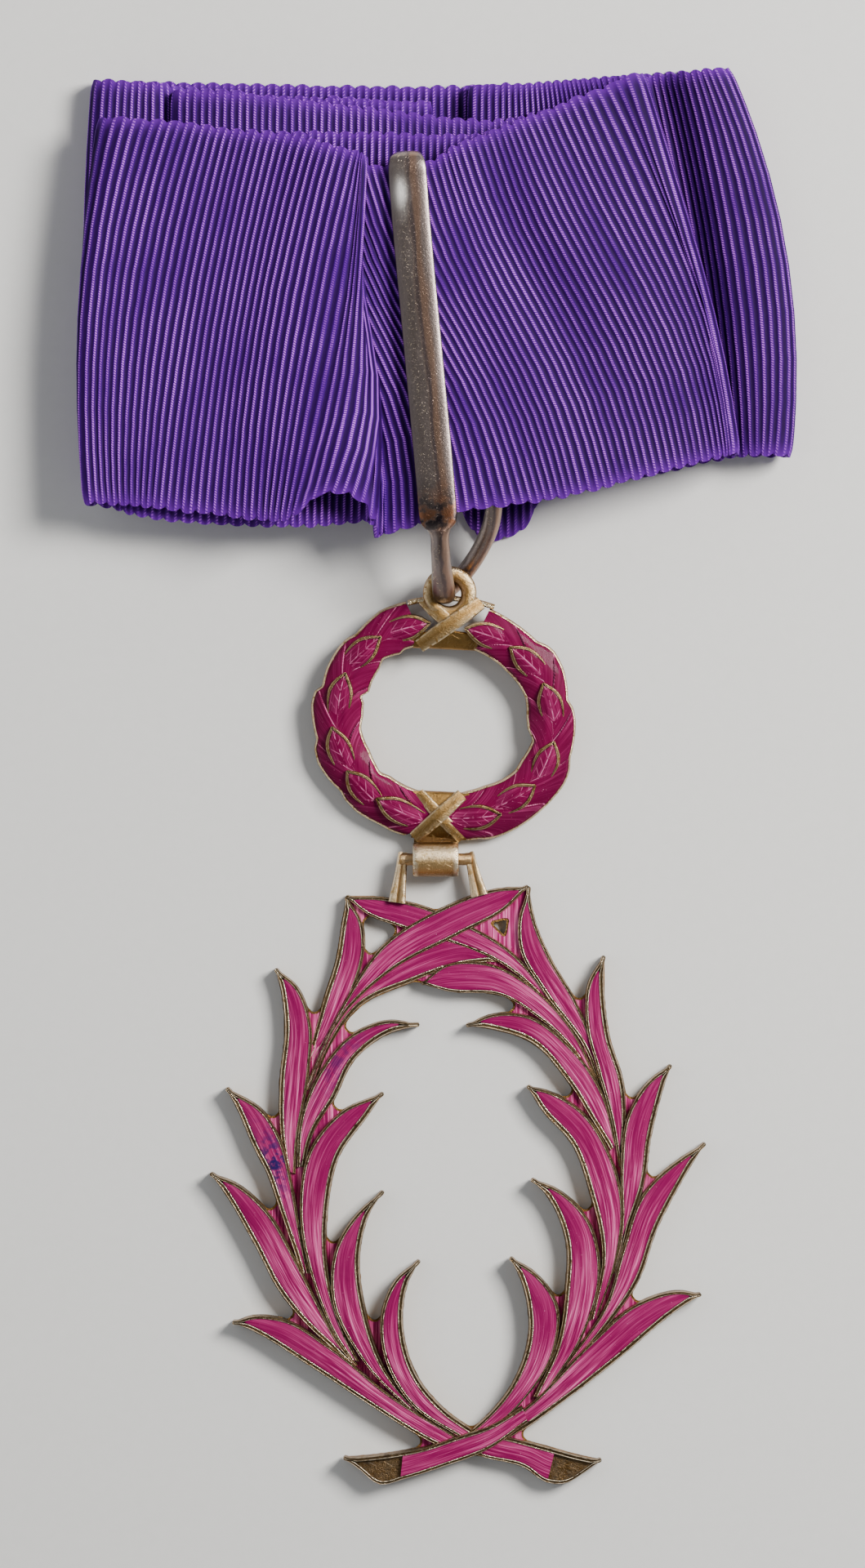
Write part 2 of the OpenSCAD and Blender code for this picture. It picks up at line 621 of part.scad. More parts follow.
module wreath_metal() {
    color("darkgoldenrod") wreath_place() difference() {
        union() {
            translate([wreath_at[0], wreath_at[1], 0])
                rotate([0, 0, wreath_lean])
                    difference() {
                        union() {
                            linear_extrude(wreath_t)
                                difference() {
                                    polygon([for (a = [0:5:355]) on_band(1, a, 0.72)]);
                                    polygon([for (a = [0:5:355]) on_band(1, a, -0.72)]);
                                }
                            for (lift = [0.3, 0.9])
                                linear_extrude(wreath_t + lift)
                                    offset(delta = 0.01)
                                        for (row = wreath_leaves)
                                            if (leaf_lift(row) == lift)
                                                wreath_leaf(row);
                            ties();
                        }
                        wreath_cells(0);
                        for (hole = pierced)
                            translate([0, half_b, -cut / 2])
                                linear_extrude(2 * cut)
                                    polygon(hole);
                    }
            translate([eye_at[0], eye_at[1], eye_z]) cylinder(d = eye_d, h = eye_t);
            translate([-sleeve_l / 2, 0, neck_z]) cube([sleeve_l, neck_l, neck_t]);
            translate([-sleeve_l / 2, 0, hinge[2]])
                rotate([0, 90, 0])
                    cylinder(d = sleeve_d, h = sleeve_l);
        }
        translate([eye_at[0], eye_at[1], -cut]) cylinder(d = eye_hole_d, h = 3 * cut);
        translate([-sleeve_l / 2 - cut, 0, hinge[2]])
            rotate([0, 90, 0])
                cylinder(d = pin_d + 2 * pin_play, h = sleeve_l + 2 * cut);
    }
}

module wreath_enamel() {
    color("mediumvioletred") wreath_place()
        translate([wreath_at[0], wreath_at[1], 0])
            rotate([0, 0, wreath_lean])
                wreath_cells(gap);
}

neck_ribbon();
neck_clasp();
ribbon_loop();
wreath_metal();
wreath_enamel();
palms_metal();
left_palm_enamel();
right_palm_enamel();
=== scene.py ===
# %% [markdown]
# # A neck badge: pleated ribbon, ribbon loop, enamelled wreath and enamelled palms
#
# The badge hangs from a wide ribbed ribbon that is folded to and fro and lies flat. A long loop
# of half-round silver grips the folds, its wire runs through the eye of a small laurel wreath,
# and two crossed palms hang from the wreath on a hinge. The sizes, the places and the hinge come
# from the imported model, which is loaded first as a fixed frame.

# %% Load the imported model
import math

import bpy
import numpy as np
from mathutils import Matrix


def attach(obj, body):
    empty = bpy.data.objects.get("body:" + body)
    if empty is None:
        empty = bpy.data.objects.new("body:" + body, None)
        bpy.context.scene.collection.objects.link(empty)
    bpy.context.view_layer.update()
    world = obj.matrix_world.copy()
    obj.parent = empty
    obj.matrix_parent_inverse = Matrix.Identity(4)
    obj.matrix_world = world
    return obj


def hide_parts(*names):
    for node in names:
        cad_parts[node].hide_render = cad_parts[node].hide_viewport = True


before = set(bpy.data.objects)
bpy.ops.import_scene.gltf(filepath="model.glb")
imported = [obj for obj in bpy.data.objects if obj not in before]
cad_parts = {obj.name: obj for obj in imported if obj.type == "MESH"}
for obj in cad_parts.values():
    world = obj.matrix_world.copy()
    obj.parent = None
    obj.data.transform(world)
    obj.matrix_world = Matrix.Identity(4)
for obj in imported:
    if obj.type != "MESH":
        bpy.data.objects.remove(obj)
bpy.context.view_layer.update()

# %% [markdown]
# ## Tools of the bench
#
# Everything below is worked out in millimetres, as a maker would, and turned into metres only
# when a mesh is made. Three tools do nearly all the work: a smooth line through a few measured
# points, a skin over a row of rings (a loft), and a stock of points and faces that becomes one
# piece. A loft is chosen over sculpting or boolean cuts because each rim, groove and rib then
# has its own column of points, which can also carry a mark for the material to read.

# %% Smooth lines
def smooth_line(rows, steps, closed=False):
    """A smooth line through rows of numbers, whose spacing may be uneven."""
    rows = np.asarray(rows, float)
    n = len(rows)
    spans = n if closed else n - 1
    line = []
    for i in range(spans):
        pick = (lambda k: rows[k % n]) if closed else (lambda k: rows[min(max(k, 0), n - 1)])
        a, b, c, d = (pick(i + k) for k in (-1, 0, 1, 2))
        before, size, after = (max(np.linalg.norm(q - p), 1e-9) for p, q in ((a, b), (b, c), (c, d)))
        out = (c - b) / size if before < 1e-6 else \
            ((c - b) * before / size + (b - a) * size / before) / (before + size)
        into = (c - b) / size if after < 1e-6 else \
            ((d - c) * size / after + (c - b) * after / size) / (size + after)
        for t in np.arange(steps) / steps:
            line.append(b * (2 * t**3 - 3 * t**2 + 1) + out * size * (t**3 - 2 * t**2 + t)
                        + c * (3 * t**2 - 2 * t**3) + into * size * (t**3 - t**2))
    if not closed:
        line.append(rows[-1])
    return np.array(line)


def along(line):
    """How far each point of a line is from its start."""
    return np.concatenate([[0], np.cumsum(np.linalg.norm(np.diff(line, axis=0), axis=1))])


def at_shares(line, shares):
    """The points at these shares of a line's length."""
    far = along(line)
    return np.stack([np.interp(shares * far[-1], far, line[:, k]) for k in range(line.shape[1])], 1)


def ease(low, high, value):
    t = np.clip((value - low) / (high - low), 0, 1)
    return t * t * (3 - 2 * t)


def unit(v):
    return v / np.maximum(np.linalg.norm(v, axis=-1, keepdims=True), 1e-9)


print("smooth line:", len(smooth_line([[0, 0], [1, 2], [3, 3]], 8)), "points through 3 rows")


# %% Lofts, and the stock that becomes a piece
class Stock:
    """Points, faces and marks gathered for one piece, in millimetres."""

    def __init__(self):
        self.points, self.faces, self.marks, self.count = [], [], [], 0

    def add(self, points, faces, **marks):
        points = np.asarray(points, float).reshape(-1, 3)
        self.faces += [[int(k) + self.count for k in face] for face in faces]
        self.points.append(points)
        self.marks.append({key: np.broadcast_to(np.asarray(value, float).reshape(-1), (len(points),))
                           for key, value in marks.items()})
        self.count += len(points)


def loft(rings, closed=False):
    """Faces through rings of points, an array of rings x points x 3."""
    n, k = rings.shape[:2]
    i, j = np.meshgrid(np.arange(n if closed else n - 1), np.arange(k), indexing="ij")
    after, side = (i + 1) % n, (j + 1) % k
    faces = np.stack([i * k + j, i * k + side, after * k + side, after * k + j], -1).reshape(-1, 4)
    faces = faces.tolist()
    if not closed:
        faces += [list(range(k))[::-1], [(n - 1) * k + m for m in range(k)]]
    return faces


print("loft:", len(loft(np.zeros((3, 4, 3)))), "faces over 3 rings of 4 points")


# %% A piece from a stock
def piece(name, stock, finish, slot, body, *replaced, sharp=35):
    """A mesh from a stock, in metres, that rides on a body and stands for CAD nodes."""
    mesh = bpy.data.meshes.new(name)
    mesh.from_pydata((np.concatenate(stock.points) / 1000).tolist(), [], stock.faces)
    for key in sorted({key for marks in stock.marks for key in marks}):
        layer = mesh.attributes.new(key, "FLOAT", "POINT")
        values = np.concatenate([marks.get(key, np.zeros(len(p)))
                                 for p, marks in zip(stock.points, stock.marks)])
        layer.data.foreach_set("value", values.astype(np.float32))
    mesh.materials.append(finish)
    mesh.validate()
    mesh.shade_smooth()
    mesh.set_sharp_from_angle(angle=math.radians(sharp))
    obj = bpy.data.objects.new(name, mesh)
    bpy.context.scene.collection.objects.link(obj)
    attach(obj, body)
    if replaced:
        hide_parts(*replaced)
    mesh.calc_loop_triangles()
    size = np.ptp(np.concatenate(stock.points), axis=0)
    print(f"{name}: {len(mesh.loop_triangles)} triangles, {np.round(size, 2).tolist()} mm")
    return obj


# %% [markdown]
# ## Shader tools
#
# A finish is built from a few nodes: noise for unevenness, a mask for wear, and one Principled
# shader. `brush` adds a node and joins its inputs in one line. Effects that several finishes
# share (tarnish, fine scratches, the streaks in the enamel) are node groups, built once.

# %% Nodes in one line
def paint(r, g, b):
    """A colour as seen on a screen, 0 to 255, as the linear light that shaders use."""
    return tuple((v / 255 / 12.92 if v <= 10 else ((v / 255 + 0.055) / 1.055) ** 2.4)
                 for v in (r, g, b)) + (1.0,)


def join(tree, value, socket):
    """Joins another node's socket to an input, or sets the input's own value."""
    if isinstance(value, bpy.types.NodeSocket):
        tree.links.new(value, socket)
    else:
        socket.default_value = value


def brush(tree, kind, settings=None, **inputs):
    """A new node; an input is a value or another node's socket. _ stands for a space."""
    node = tree.nodes.new("ShaderNode" + kind)
    for key, value in (settings or {}).items():
        setattr(node, key, value)
    for key, value in inputs.items():
        key = int(key[1:]) if key[0] == "i" and key[1:].isdigit() else key.replace("_", " ")
        join(tree, value, node.inputs[key])
    return node


def maths(tree, operation, *values, clamp=False):
    return brush(tree, "Math", {"operation": operation, "use_clamp": clamp},
                 **{f"i{k}": v for k, v in enumerate(values)}).outputs[0]


def times(tree, one, other, clamp=False):
    return maths(tree, "MULTIPLY", one, other, clamp=clamp)


def plus(tree, one, other, clamp=False):
    return maths(tree, "ADD", one, other, clamp=clamp)


def minus(tree, one, other):
    return maths(tree, "SUBTRACT", one, other)


def inverse(tree, value):
    """1 minus a value."""
    return minus(tree, 1.0, value)


def mix(tree, share, a, b):
    """Colour a where the share is 0, and colour b where it is 1."""
    node = brush(tree, "Mix", {"data_type": "RGBA", "blend_type": "MIX", "clamp_factor": True})
    for socket, value in ((node.inputs[0], share), (node.inputs[6], a), (node.inputs[7], b)):
        join(tree, value, socket)
    return node.outputs[2]


print("mid grey on a screen is light of", round(paint(128, 128, 128)[0], 3))


# %% Marks, bands and noise
def mark(tree, name):
    return brush(tree, "Attribute", {"attribute_name": name}).outputs["Fac"]


def band(tree, value, low, high):
    """0 below low, 1 above high, smooth between."""
    return brush(tree, "MapRange", {"interpolation_type": "SMOOTHSTEP"}, Value=value,
                 From_Min=low, From_Max=high).outputs[0]


def near(tree, value, centre, low, high):
    """1 close to the centre, and 0 where the value is more than high away from it."""
    return inverse(tree, band(tree, maths(tree, "ABSOLUTE", minus(tree, value, centre)), low, high))


def noise(tree, vector, scale, detail=4.0, rough=0.55):
    return brush(tree, "TexNoise", Vector=vector, Scale=scale, Detail=detail,
                 Roughness=rough).outputs[0]


def place(tree):
    """The place on the object, in metres."""
    return brush(tree, "TexCoord").outputs["Object"]


def bump(tree, height, distance, strength=1.0):
    return brush(tree, "Bump", Strength=strength, Distance=distance, Height=height).outputs[0]


print("materials before the first finish:", len(bpy.data.materials))


# %% Shared effects and finishes
def shared(name, **sockets):
    """A new node group; each socket is an input with its value, or "out"."""
    tree = bpy.data.node_groups.new(name, "ShaderNodeTree")
    for key, value in sockets.items():
        label = key.replace("_", " ")
        way = "OUTPUT" if value == "out" else "INPUT"
        socket = tree.interface.new_socket(label, in_out=way, socket_type="NodeSocketFloat")
        if way == "INPUT":
            socket.default_value = value
    tree.nodes.new("NodeGroupInput")
    tree.nodes.new("NodeGroupOutput")
    return tree, tree.nodes["Group Input"].outputs, tree.nodes["Group Output"].inputs


def effect(tree, group, **inputs):
    node = tree.nodes.new("ShaderNodeGroup")
    node.node_tree = group
    for key, value in inputs.items():
        join(tree, value, node.inputs[key.replace("_", " ")])
    return node.outputs


def finish_of(name):
    """A new material with its node tree and its Principled shader."""
    material = bpy.data.materials.new(name)
    material.use_nodes = True
    tree = material.node_tree
    return material, tree, tree.nodes["Principled BSDF"]


def put(tree, shader, **inputs):
    """Sets or joins inputs of a finish's shader."""
    for key, value in inputs.items():
        join(tree, value, shader.inputs[key.replace("_", " ")])


print("shared effects before the first:", len(bpy.data.node_groups))

# %% [markdown]
# ### Tarnish and scratches
#
# Old gilding and silver are dark in the hollows and bright where cloth has rubbed them. Coarse
# noise puts the tarnish in clouds, and fine noise breaks it into flecks. Wiping scratches are
# short and run every way, so stretched noise in three directions stands for them. Both come out
# as masks between 0 and 1, so each metal can take its own colours.

# %% Tarnish in clouds and flecks
tarnish, given, made = shared("tarnish", Cloud_Size=900.0, Fleck_Size=9000.0, Amount=0.5, Mask="out")
where = place(tarnish)
cloud = noise(tarnish, where, given["Cloud Size"], 5, 0.6)
fleck = noise(tarnish, where, given["Fleck Size"], 3, 0.7)
both = plus(tarnish, times(tarnish, cloud, 0.62), times(tarnish, fleck, 0.38))
level = minus(tarnish, 0.68, times(tarnish, given["Amount"], 0.36))
tarnish.links.new(times(tarnish, minus(tarnish, both, level), 7.0, clamp=True), made["Mask"])
print("tarnish:", len(tarnish.nodes), "nodes")

# %% Scratches that run three ways
scratches, given, made = shared("scratches", Length=700.0, Fineness=11000.0, Mask="out")
where = place(scratches)
lines = []
for lean in (0.5, -0.9, 2.2):
    leaning = brush(scratches, "Mapping", {"vector_type": "POINT"}, Vector=where,
                    Rotation=(0.0, 0.0, lean)).outputs[0]
    apart = brush(scratches, "SeparateXYZ", Vector=leaning).outputs
    ruled = brush(scratches, "CombineXYZ",
                  X=times(scratches, apart[0], given["Length"]),
                  Y=times(scratches, apart[1], given["Fineness"]),
                  Z=times(scratches, apart[2], given["Length"])).outputs[0]
    lines.append(band(scratches, noise(scratches, ruled, 1.0, 2, 0.5), 0.66, 0.76))
most = maths(scratches, "MAXIMUM", maths(scratches, "MAXIMUM", lines[0], lines[1]), lines[2])
scratches.links.new(most, made["Mask"])
print("scratches:", len(scratches.nodes), "nodes")

# %% [markdown]
# ### Gilt metal
#
# The wreath and the palms are gilt silver. On the real badge the gilding is pale and dull on top,
# bright in a thin line along each rim next to the enamel, brown to black in the grooves, and amber
# on the side walls. The bright lines are painted highlights over rubbed gilding, and the dark
# grooves, with the dark flats of the rims, are painted shade over tarnish. The meshes mark these
# places: `crest` is 1 on a bright line, `hollow` is 1 in a groove and `wall` is 1 on a side, and
# the finish mixes its colours by them.

# %% The gilt finish
def gilt_finish(name, face, groove, wall_colour, rub_and_highlight, dirt):
    material, tree, shader = finish_of(name)
    where = place(tree)
    dark = effect(tree, tarnish, Cloud_Size=800.0, Fleck_Size=8000.0, Amount=dirt)["Mask"]
    worn = effect(tree, scratches, Length=600.0, Fineness=9000.0)["Mask"]
    tint = mix(tree, noise(tree, where, 500.0, 3), paint(*face), paint(*[v * 0.72 for v in face]))
    tint = mix(tree, mark(tree, "wall"), tint, paint(*wall_colour))
    tint = mix(tree, times(tree, dark, 0.8), tint, paint(*groove))
    # painted shade over tarnish: `hollow` darkens the grooves and the flats between a rim's bright corners
    tint = mix(tree, mark(tree, "hollow"), tint, paint(*groove))
    tint = mix(tree, times(tree, worn, 0.25), tint, paint(*rub_and_highlight))
    # painted highlight over rubbed gilding: `crest` paints a bright line in the pale colour
    uneven = band(tree, noise(tree, where, 2600.0, 2), 0.30, 0.52)
    bright = times(tree, mark(tree, "crest"), uneven, clamp=True)
    tint = mix(tree, bright, tint, paint(*rub_and_highlight))
    rough = plus(tree, 0.34, times(tree, dark, 0.22))
    rough = minus(tree, rough, times(tree, bright, 0.1))
    pits = plus(tree, noise(tree, where, 5000.0, 4, 0.7), times(tree, worn, -0.3))
    put(tree, shader, Base_Color=tint, Metallic=1.0, Roughness=rough,
        Normal=bump(tree, pits, 0.00009, 0.8))
    return material


palm_gilt = gilt_finish("palm gilt", (132, 106, 70), (36, 27, 20), (150, 108, 52), (246, 228, 198), 0.58)
wreath_gilt = gilt_finish("wreath gilt", (176, 136, 76), (62, 44, 26), (162, 112, 50), (250, 230, 190), 0.45)
hinge_gilt = gilt_finish("hinge gilt", (214, 176, 120), (92, 62, 30), (196, 136, 52), (255, 240, 210), 0.34)
print("gilt finishes:", palm_gilt.name, wreath_gilt.name, hinge_gilt.name)

# %% [markdown]
# ### Enamel
#
# The enamel is clear magenta glass over a metal floor that was cut with long fine lines. Where the
# glass is thin over a ridge it looks pale pink, and where it is deep it is nearly crimson. The
# meshes carry `run`, the distance from the leaf's tip, and `side`, the distance across it, both
# in millimetres, and `seed`, one number for each leaf. The streaks are noise that is stretched
# along the leaf, and the mark `pale` says where a leaf is light as a whole.

# %% Streaks under the glass
streaks, given, made = shared("streaks", Fineness=2.6, Stretch=0.16, Mask="out", Fine="out")
run, side, seed = mark(streaks, "run"), mark(streaks, "side"), mark(streaks, "seed")
long_way = times(streaks, run, given["Stretch"])
broad = brush(streaks, "CombineXYZ", X=long_way, Y=times(streaks, side, given["Fineness"]),
              Z=times(streaks, seed, 7.3)).outputs[0]
narrow = brush(streaks, "CombineXYZ", X=times(streaks, long_way, 1.7),
               Y=times(streaks, side, times(streaks, given["Fineness"], 3.4)),
               Z=times(streaks, seed, 3.1)).outputs[0]
streaks.links.new(band(streaks, noise(streaks, broad, 1.0, 2, 0.5), 0.36, 0.70), made["Mask"])
streaks.links.new(band(streaks, noise(streaks, narrow, 1.0, 2, 0.6), 0.42, 0.72), made["Fine"])
print("streaks:", len(streaks.nodes), "nodes")


# %% The enamel finish
def enamel_finish(name, deep, middle, light, cloudy, coat, stain=None):
    material, tree, shader = finish_of(name)
    where = place(tree)
    lines = effect(tree, streaks, Fineness=3.6, Stretch=0.14)
    pale = mark(tree, "pale")
    streak = plus(tree, times(tree, lines["Mask"], 0.5),
                  times(tree, lines["Fine"], 0.55), clamp=True)
    tint = mix(tree, times(tree, streak, plus(tree, 0.25, pale), clamp=True),
               paint(*deep), paint(*middle))
    tint = mix(tree, times(tree, maths(tree, "POWER", streak, 2.1),
                           times(tree, pale, 1.5), clamp=True), tint, paint(*light))
    drift = band(tree, noise(tree, where, 420.0, 3), 0.42, 0.72)
    tint = mix(tree, times(tree, drift, cloudy), tint, paint(*light))
    if stain:
        blue = times(tree, mark(tree, "stain"), band(tree, noise(tree, where, 1400.0, 4), 0.4, 0.6))
        tint = mix(tree, blue, tint, paint(*stain))
    # the `edge` mark darkens the enamel: along the palms' rims, and on the wreath as painted shade after each
    # step of its band and on its outer slope
    tint = mix(tree, times(tree, mark(tree, "edge"), 0.55), tint, paint(*[v * 0.55 for v in deep]))
    # painted highlights: pale pink spots from noise stand for small glints on the glass
    specks = band(tree, noise(tree, where, 5200.0, 2), 0.70, 0.78)
    tint = mix(tree, times(tree, specks, 0.35), tint, paint(240, 150, 190))
    wavy = plus(tree, noise(tree, where, 900.0, 2), times(tree, lines["Fine"], 0.25))
    rough = plus(tree, 0.5 - 0.3 * coat, times(tree, specks, 0.3))
    put(tree, shader, Base_Color=tint, Roughness=rough, Normal=bump(tree, wavy, 0.00004, 0.5),
        Coat_Weight=coat, Coat_Roughness=0.08, Specular_IOR_Level=0.02 + 0.4 * coat)
    return material


palm_enamel = enamel_finish("palm enamel", (120, 0, 70), (178, 4, 106), (255, 140, 194), 0.02, 0.22,
                            stain=(34, 22, 84))
wreath_glass = enamel_finish("wreath enamel", (100, 0, 52), (130, 2, 76), (200, 84, 140), 0.02, 0.06)
print("enamel finishes:", palm_enamel.name, wreath_glass.name)

# %% [markdown]
# ## The palms
#
# Each palm is a fan of long leaves. On the real badge it is struck from one plate, its rims stand
# up as thin wires, and each rim shows a bright line on both its corners with a dark flat between
# them; the lines are painted as highlights over rubbed gilding, and the flat in painted shade over
# its tarnish. A boolean cut would give the cell but not these corners, so each leaf is lofted
# across: side wall, outer corner, flat, inner corner, then down to the floor of the cell.
# A leaf's two edges are smooth lines through a few measured points, tip first.

# %% The left palm's leaves: tip, one edge, other edge, lift, the two edges' rims, all from the hinge
hinge = np.array([0.2, -8.0, 0.0])
FREE, LAID = 0.60, 0.40      # a rim that shows its side wall, and one that lies on a leaf
left_leaves = [
    [[-8.9, -3.7],
     [[-9.4, -6.3], [-10.0, -10.0], [-11.2, -13.8], [-13.0, -20.1]],
     [[-7.4, -5.9], [-7.0, -8.6], [-8.2, -13.3], [-12.0, -20.1]], 0.0, FREE, 0.45],
    [[6.4, -10.2],
     [[3.4, -7.7], [-1.1, -8.4], [-6.2, -11.6], [-10.5, -16.8], [-13.0, -23.0]],
     [[2.3, -10.7], [-2.3, -12.3], [-7.6, -14.8], [-10.5, -18.9], [-12.2, -23.0]], 0.0, LAID, FREE],
    [[9.3, -2.7],
     [[6.0, -2.9], [0.6, -4.8], [-5.2, -8.4], [-8.8, -13.5], [-13.2, -23.0]],
     [[7.2, -4.9], [2.5, -7.5], [-4.4, -11.2], [-9.7, -16.4], [-12.6, -23.0]], 0.3, LAID, 0.45],
    [[-16.0, -10.9],
     [[-15.4, -13.5], [-15.1, -16.9], [-15.6, -21.9], [-15.5, -28.3], [-15.0, -31.0]],
     [[-13.9, -12.5], [-12.4, -16.2], [-12.5, -20.9], [-13.7, -28.4], [-13.9, -31.4]], 0.3, FREE, LAID],
    [[-1.6, -16.5],
     [[-4.5, -16.0], [-8.4, -17.4], [-11.7, -21.3], [-13.6, -26.2], [-13.9, -30.7]],
     [[-5.2, -17.7], [-8.1, -20.1], [-10.0, -23.9], [-12.1, -27.4], [-13.0, -30.7]], 0.3, LAID, FREE],
    [[-20.9, -22.8],
     [[-19.5, -25.7], [-18.2, -28.8], [-16.9, -31.3], [-15.7, -34.8], [-13.5, -41.3]],
     [[-17.2, -25.0], [-15.3, -28.1], [-14.3, -31.9], [-13.5, -36.4], [-12.5, -41.3]], 0.4, FREE, LAID],
    [[-5.2, -23.3],
     [[-9.3, -25.0], [-12.5, -28.7], [-13.6, -34.8], [-12.5, -41.4], [-9.9, -47.8], [-8.5, -49.9]],
     [[-6.5, -25.3], [-9.6, -29.7], [-10.7, -34.8], [-10.3, -42.9], [-8.6, -47.8], [-7.5, -50.1]],
     0.5, LAID, FREE],
    [[-22.5, -31.3],
     [[-20.9, -33.6], [-18.1, -38.5], [-15.6, -43.2], [-13.1, -46.3], [-10.2, -49.0], [-8.3, -50.6]],
     [[-20.0, -32.2], [-16.5, -35.3], [-14.3, -39.0], [-11.8, -43.9], [-9.4, -48.3], [-7.7, -50.4]],
     0.5, FREE, LAID],
    [[-5.2, -33.1],
     [[-7.5, -34.9], [-10.0, -38.7], [-10.4, -43.7], [-7.4, -49.9], [-2.1, -55.5]],
     [[-6.4, -35.0], [-7.5, -39.2], [-6.8, -45.5], [-4.8, -51.0], [-1.1, -55.5]], 0.6, LAID, FREE],
    [[-20.3, -46.2],
     [[-18.3, -45.5], [-15.4, -45.7], [-10.5, -48.5], [-4.7, -53.2], [2.0, -57.4]],
     [[-18.2, -47.1], [-12.7, -50.5], [-6.1, -54.8], [-1.1, -57.9], [2.2, -59.6]], 0.6, LAID, FREE],
    [[-1.6, -40.0],
     [[-3.8, -41.6], [-5.4, -44.9], [-5.3, -49.2], [-2.9, -53.9], [3.4, -58.3]],
     [[-2.7, -42.2], [-3.2, -46.8], [-1.7, -51.7], [0.9, -54.8], [4.6, -57.4]], 0.7, LAID, FREE],
]
print("leaves of the left palm:", len(left_leaves))

# %% The right palm's leaves, in the same way
right_leaves = [
    [[-9.0, -3.7],
     [[-6.0, -3.7], [-1.9, -4.4], [2.2, -6.0], [7.2, -8.8], [12.6, -15.4], [14.8, -19.3]],
     [[-7.2, -5.3], [-3.5, -6.8], [1.4, -8.3], [6.6, -10.5], [11.4, -14.9], [14.2, -19.5]], 0.1, LAID, 0.35],
    [[-1.5, -12.4],
     [[0.9, -10.5], [5.2, -10.3], [9.1, -12.2], [13.1, -16.1], [16.4, -22.2]],
     [[1.2, -13.2], [6.7, -13.7], [10.0, -15.7], [13.5, -18.9], [15.8, -22.6]], 0.2, 0.35, 0.35],
    [[9.3, -2.7],
     [[9.9, -5.9], [11.4, -9.6], [14.0, -14.0], [15.3, -16.9], [17.0, -22.6]],
     [[8.2, -5.9], [8.3, -8.9], [10.7, -13.2], [14.8, -18.9], [16.5, -23.4]], 0.2, LAID, 0.45],
    [[16.8, -9.6],
     [[15.2, -12.2], [14.9, -16.1], [16.1, -21.1], [17.4, -25.8], [18.2, -30.7]],
     [[16.9, -14.0], [17.4, -17.7], [18.8, -22.2], [19.1, -26.2], [18.7, -30.7]], 0.3, LAID, FREE],
    [[3.0, -16.6],
     [[5.2, -15.5], [8.8, -15.4], [13.5, -18.6], [16.8, -23.4], [18.1, -28.3]],
     [[5.6, -17.0], [9.5, -18.3], [13.1, -22.2], [15.6, -26.2], [17.4, -29.1]], 0.3, LAID, FREE],
    [[23.5, -20.5],
     [[21.5, -21.8], [19.1, -25.4], [18.4, -30.7], [18.4, -36.4], [17.6, -41.3]],
     [[22.6, -23.4], [21.5, -27.9], [20.9, -32.3], [19.6, -36.4], [18.1, -41.3]], 0.4, LAID, FREE],
    [[9.1, -22.6],
     [[11.1, -23.0], [14.6, -25.0], [17.4, -29.2], [18.7, -34.0], [18.1, -39.9], [16.3, -45.4]],
     [[10.5, -25.0], [13.5, -28.4], [15.3, -33.3], [16.5, -39.6], [15.3, -46.1]], 0.5, LAID, FREE],
    [[26.9, -28.3],
     [[24.5, -29.7], [20.6, -33.3], [18.6, -38.7], [17.0, -44.1], [12.7, -50.6]],
     [[24.8, -31.8], [22.1, -37.0], [20.3, -42.1], [17.2, -46.6], [13.9, -50.4]], 0.5, LAID, FREE],
    [[9.5, -31.9],
     [[11.9, -32.7], [15.3, -35.9], [16.5, -41.3], [14.9, -47.2], [10.9, -53.6]],
     [[10.9, -33.4], [12.9, -38.0], [12.8, -43.3], [11.9, -48.6], [9.6, -53.6]], 0.6, LAID, FREE],
    [[26.5, -43.4],
     [[24.5, -43.0], [19.9, -44.3], [15.4, -48.1], [9.5, -54.1], [3.0, -58.7]],
     [[23.7, -45.3], [18.1, -50.0], [13.5, -53.6], [8.7, -57.0], [3.9, -59.6]], 0.6, LAID, FREE],
    [[7.4, -39.7],
     [[9.6, -40.9], [12.2, -44.3], [11.9, -49.0], [8.7, -54.1], [3.0, -59.0]],
     [[8.7, -42.7], [9.2, -47.4], [7.4, -52.6], [4.2, -56.3], [0.9, -58.7]], 0.7, LAID, FREE],
]
print("leaves of the right palm:", len(right_leaves))

# %% A rim's section, and a leaf's two edges
# Across a rim, from the outside in: share of the rim's width, height under the crest,
# then the marks for a bright corner (painted highlight over rubbed gilding), a groove or dark flat
# (painted shade over tarnish) and a side wall
RIM = np.array([[0.00, 9.00, 0.0, 0.5, 1.0],
                [0.04, 0.80, 0.0, 0.3, 1.0],
                [0.18, 0.22, 0.2, 0.1, 0.8],
                [0.28, 0.04, 0.6, 0.0, 0.4],
                [0.36, 0.06, 0.0, 0.6, 0.0],
                [0.70, 0.05, 0.0, 0.7, 0.0],
                [0.80, 0.00, 0.9, 0.0, 0.0],
                [0.88, 0.01, 0.9, 0.0, 0.0],
                [0.92, 0.10, 0.1, 0.8, 0.0],
                [1.00, 0.42, 0.0, 1.0, 0.0]])
CELL = 0.42        # depth of a cell under its rim
BLUNT = 0.24       # radius of a leaf's tip
LEAF_RINGS = 72


def leaf_edges(tip, one, other, rings):
    """Both edges of a leaf at the same shares of their lengths, closer together near the tip."""
    shares = np.linspace(0, 1, rings) ** 1.35
    a, b = (at_shares(smooth_line([tip] + list(edge), 8), shares) for edge in (one, other))
    # a blunt tip: the edges stay a little apart from each other round the first part of the leaf
    middle, apart = (a + b) / 2, np.linalg.norm(b - a, axis=1)
    far = along(middle)
    least = BLUNT * np.sqrt(1 - (1 - np.minimum(far / BLUNT, 1)) ** 2) * (1 - ease(2 * BLUNT, 9 * BLUNT, far))
    way = unit(np.gradient(middle, axis=0))
    left = np.stack([-way[:, 1], way[:, 0]], 1) * np.sign(np.cross(way, a - b).sum())
    add = np.maximum(0, least - apart / 2)[:, None]
    return [a + left * add, b - left * add, shares]


print("rim:", len(RIM), "columns; a cell is", CELL, "mm deep")


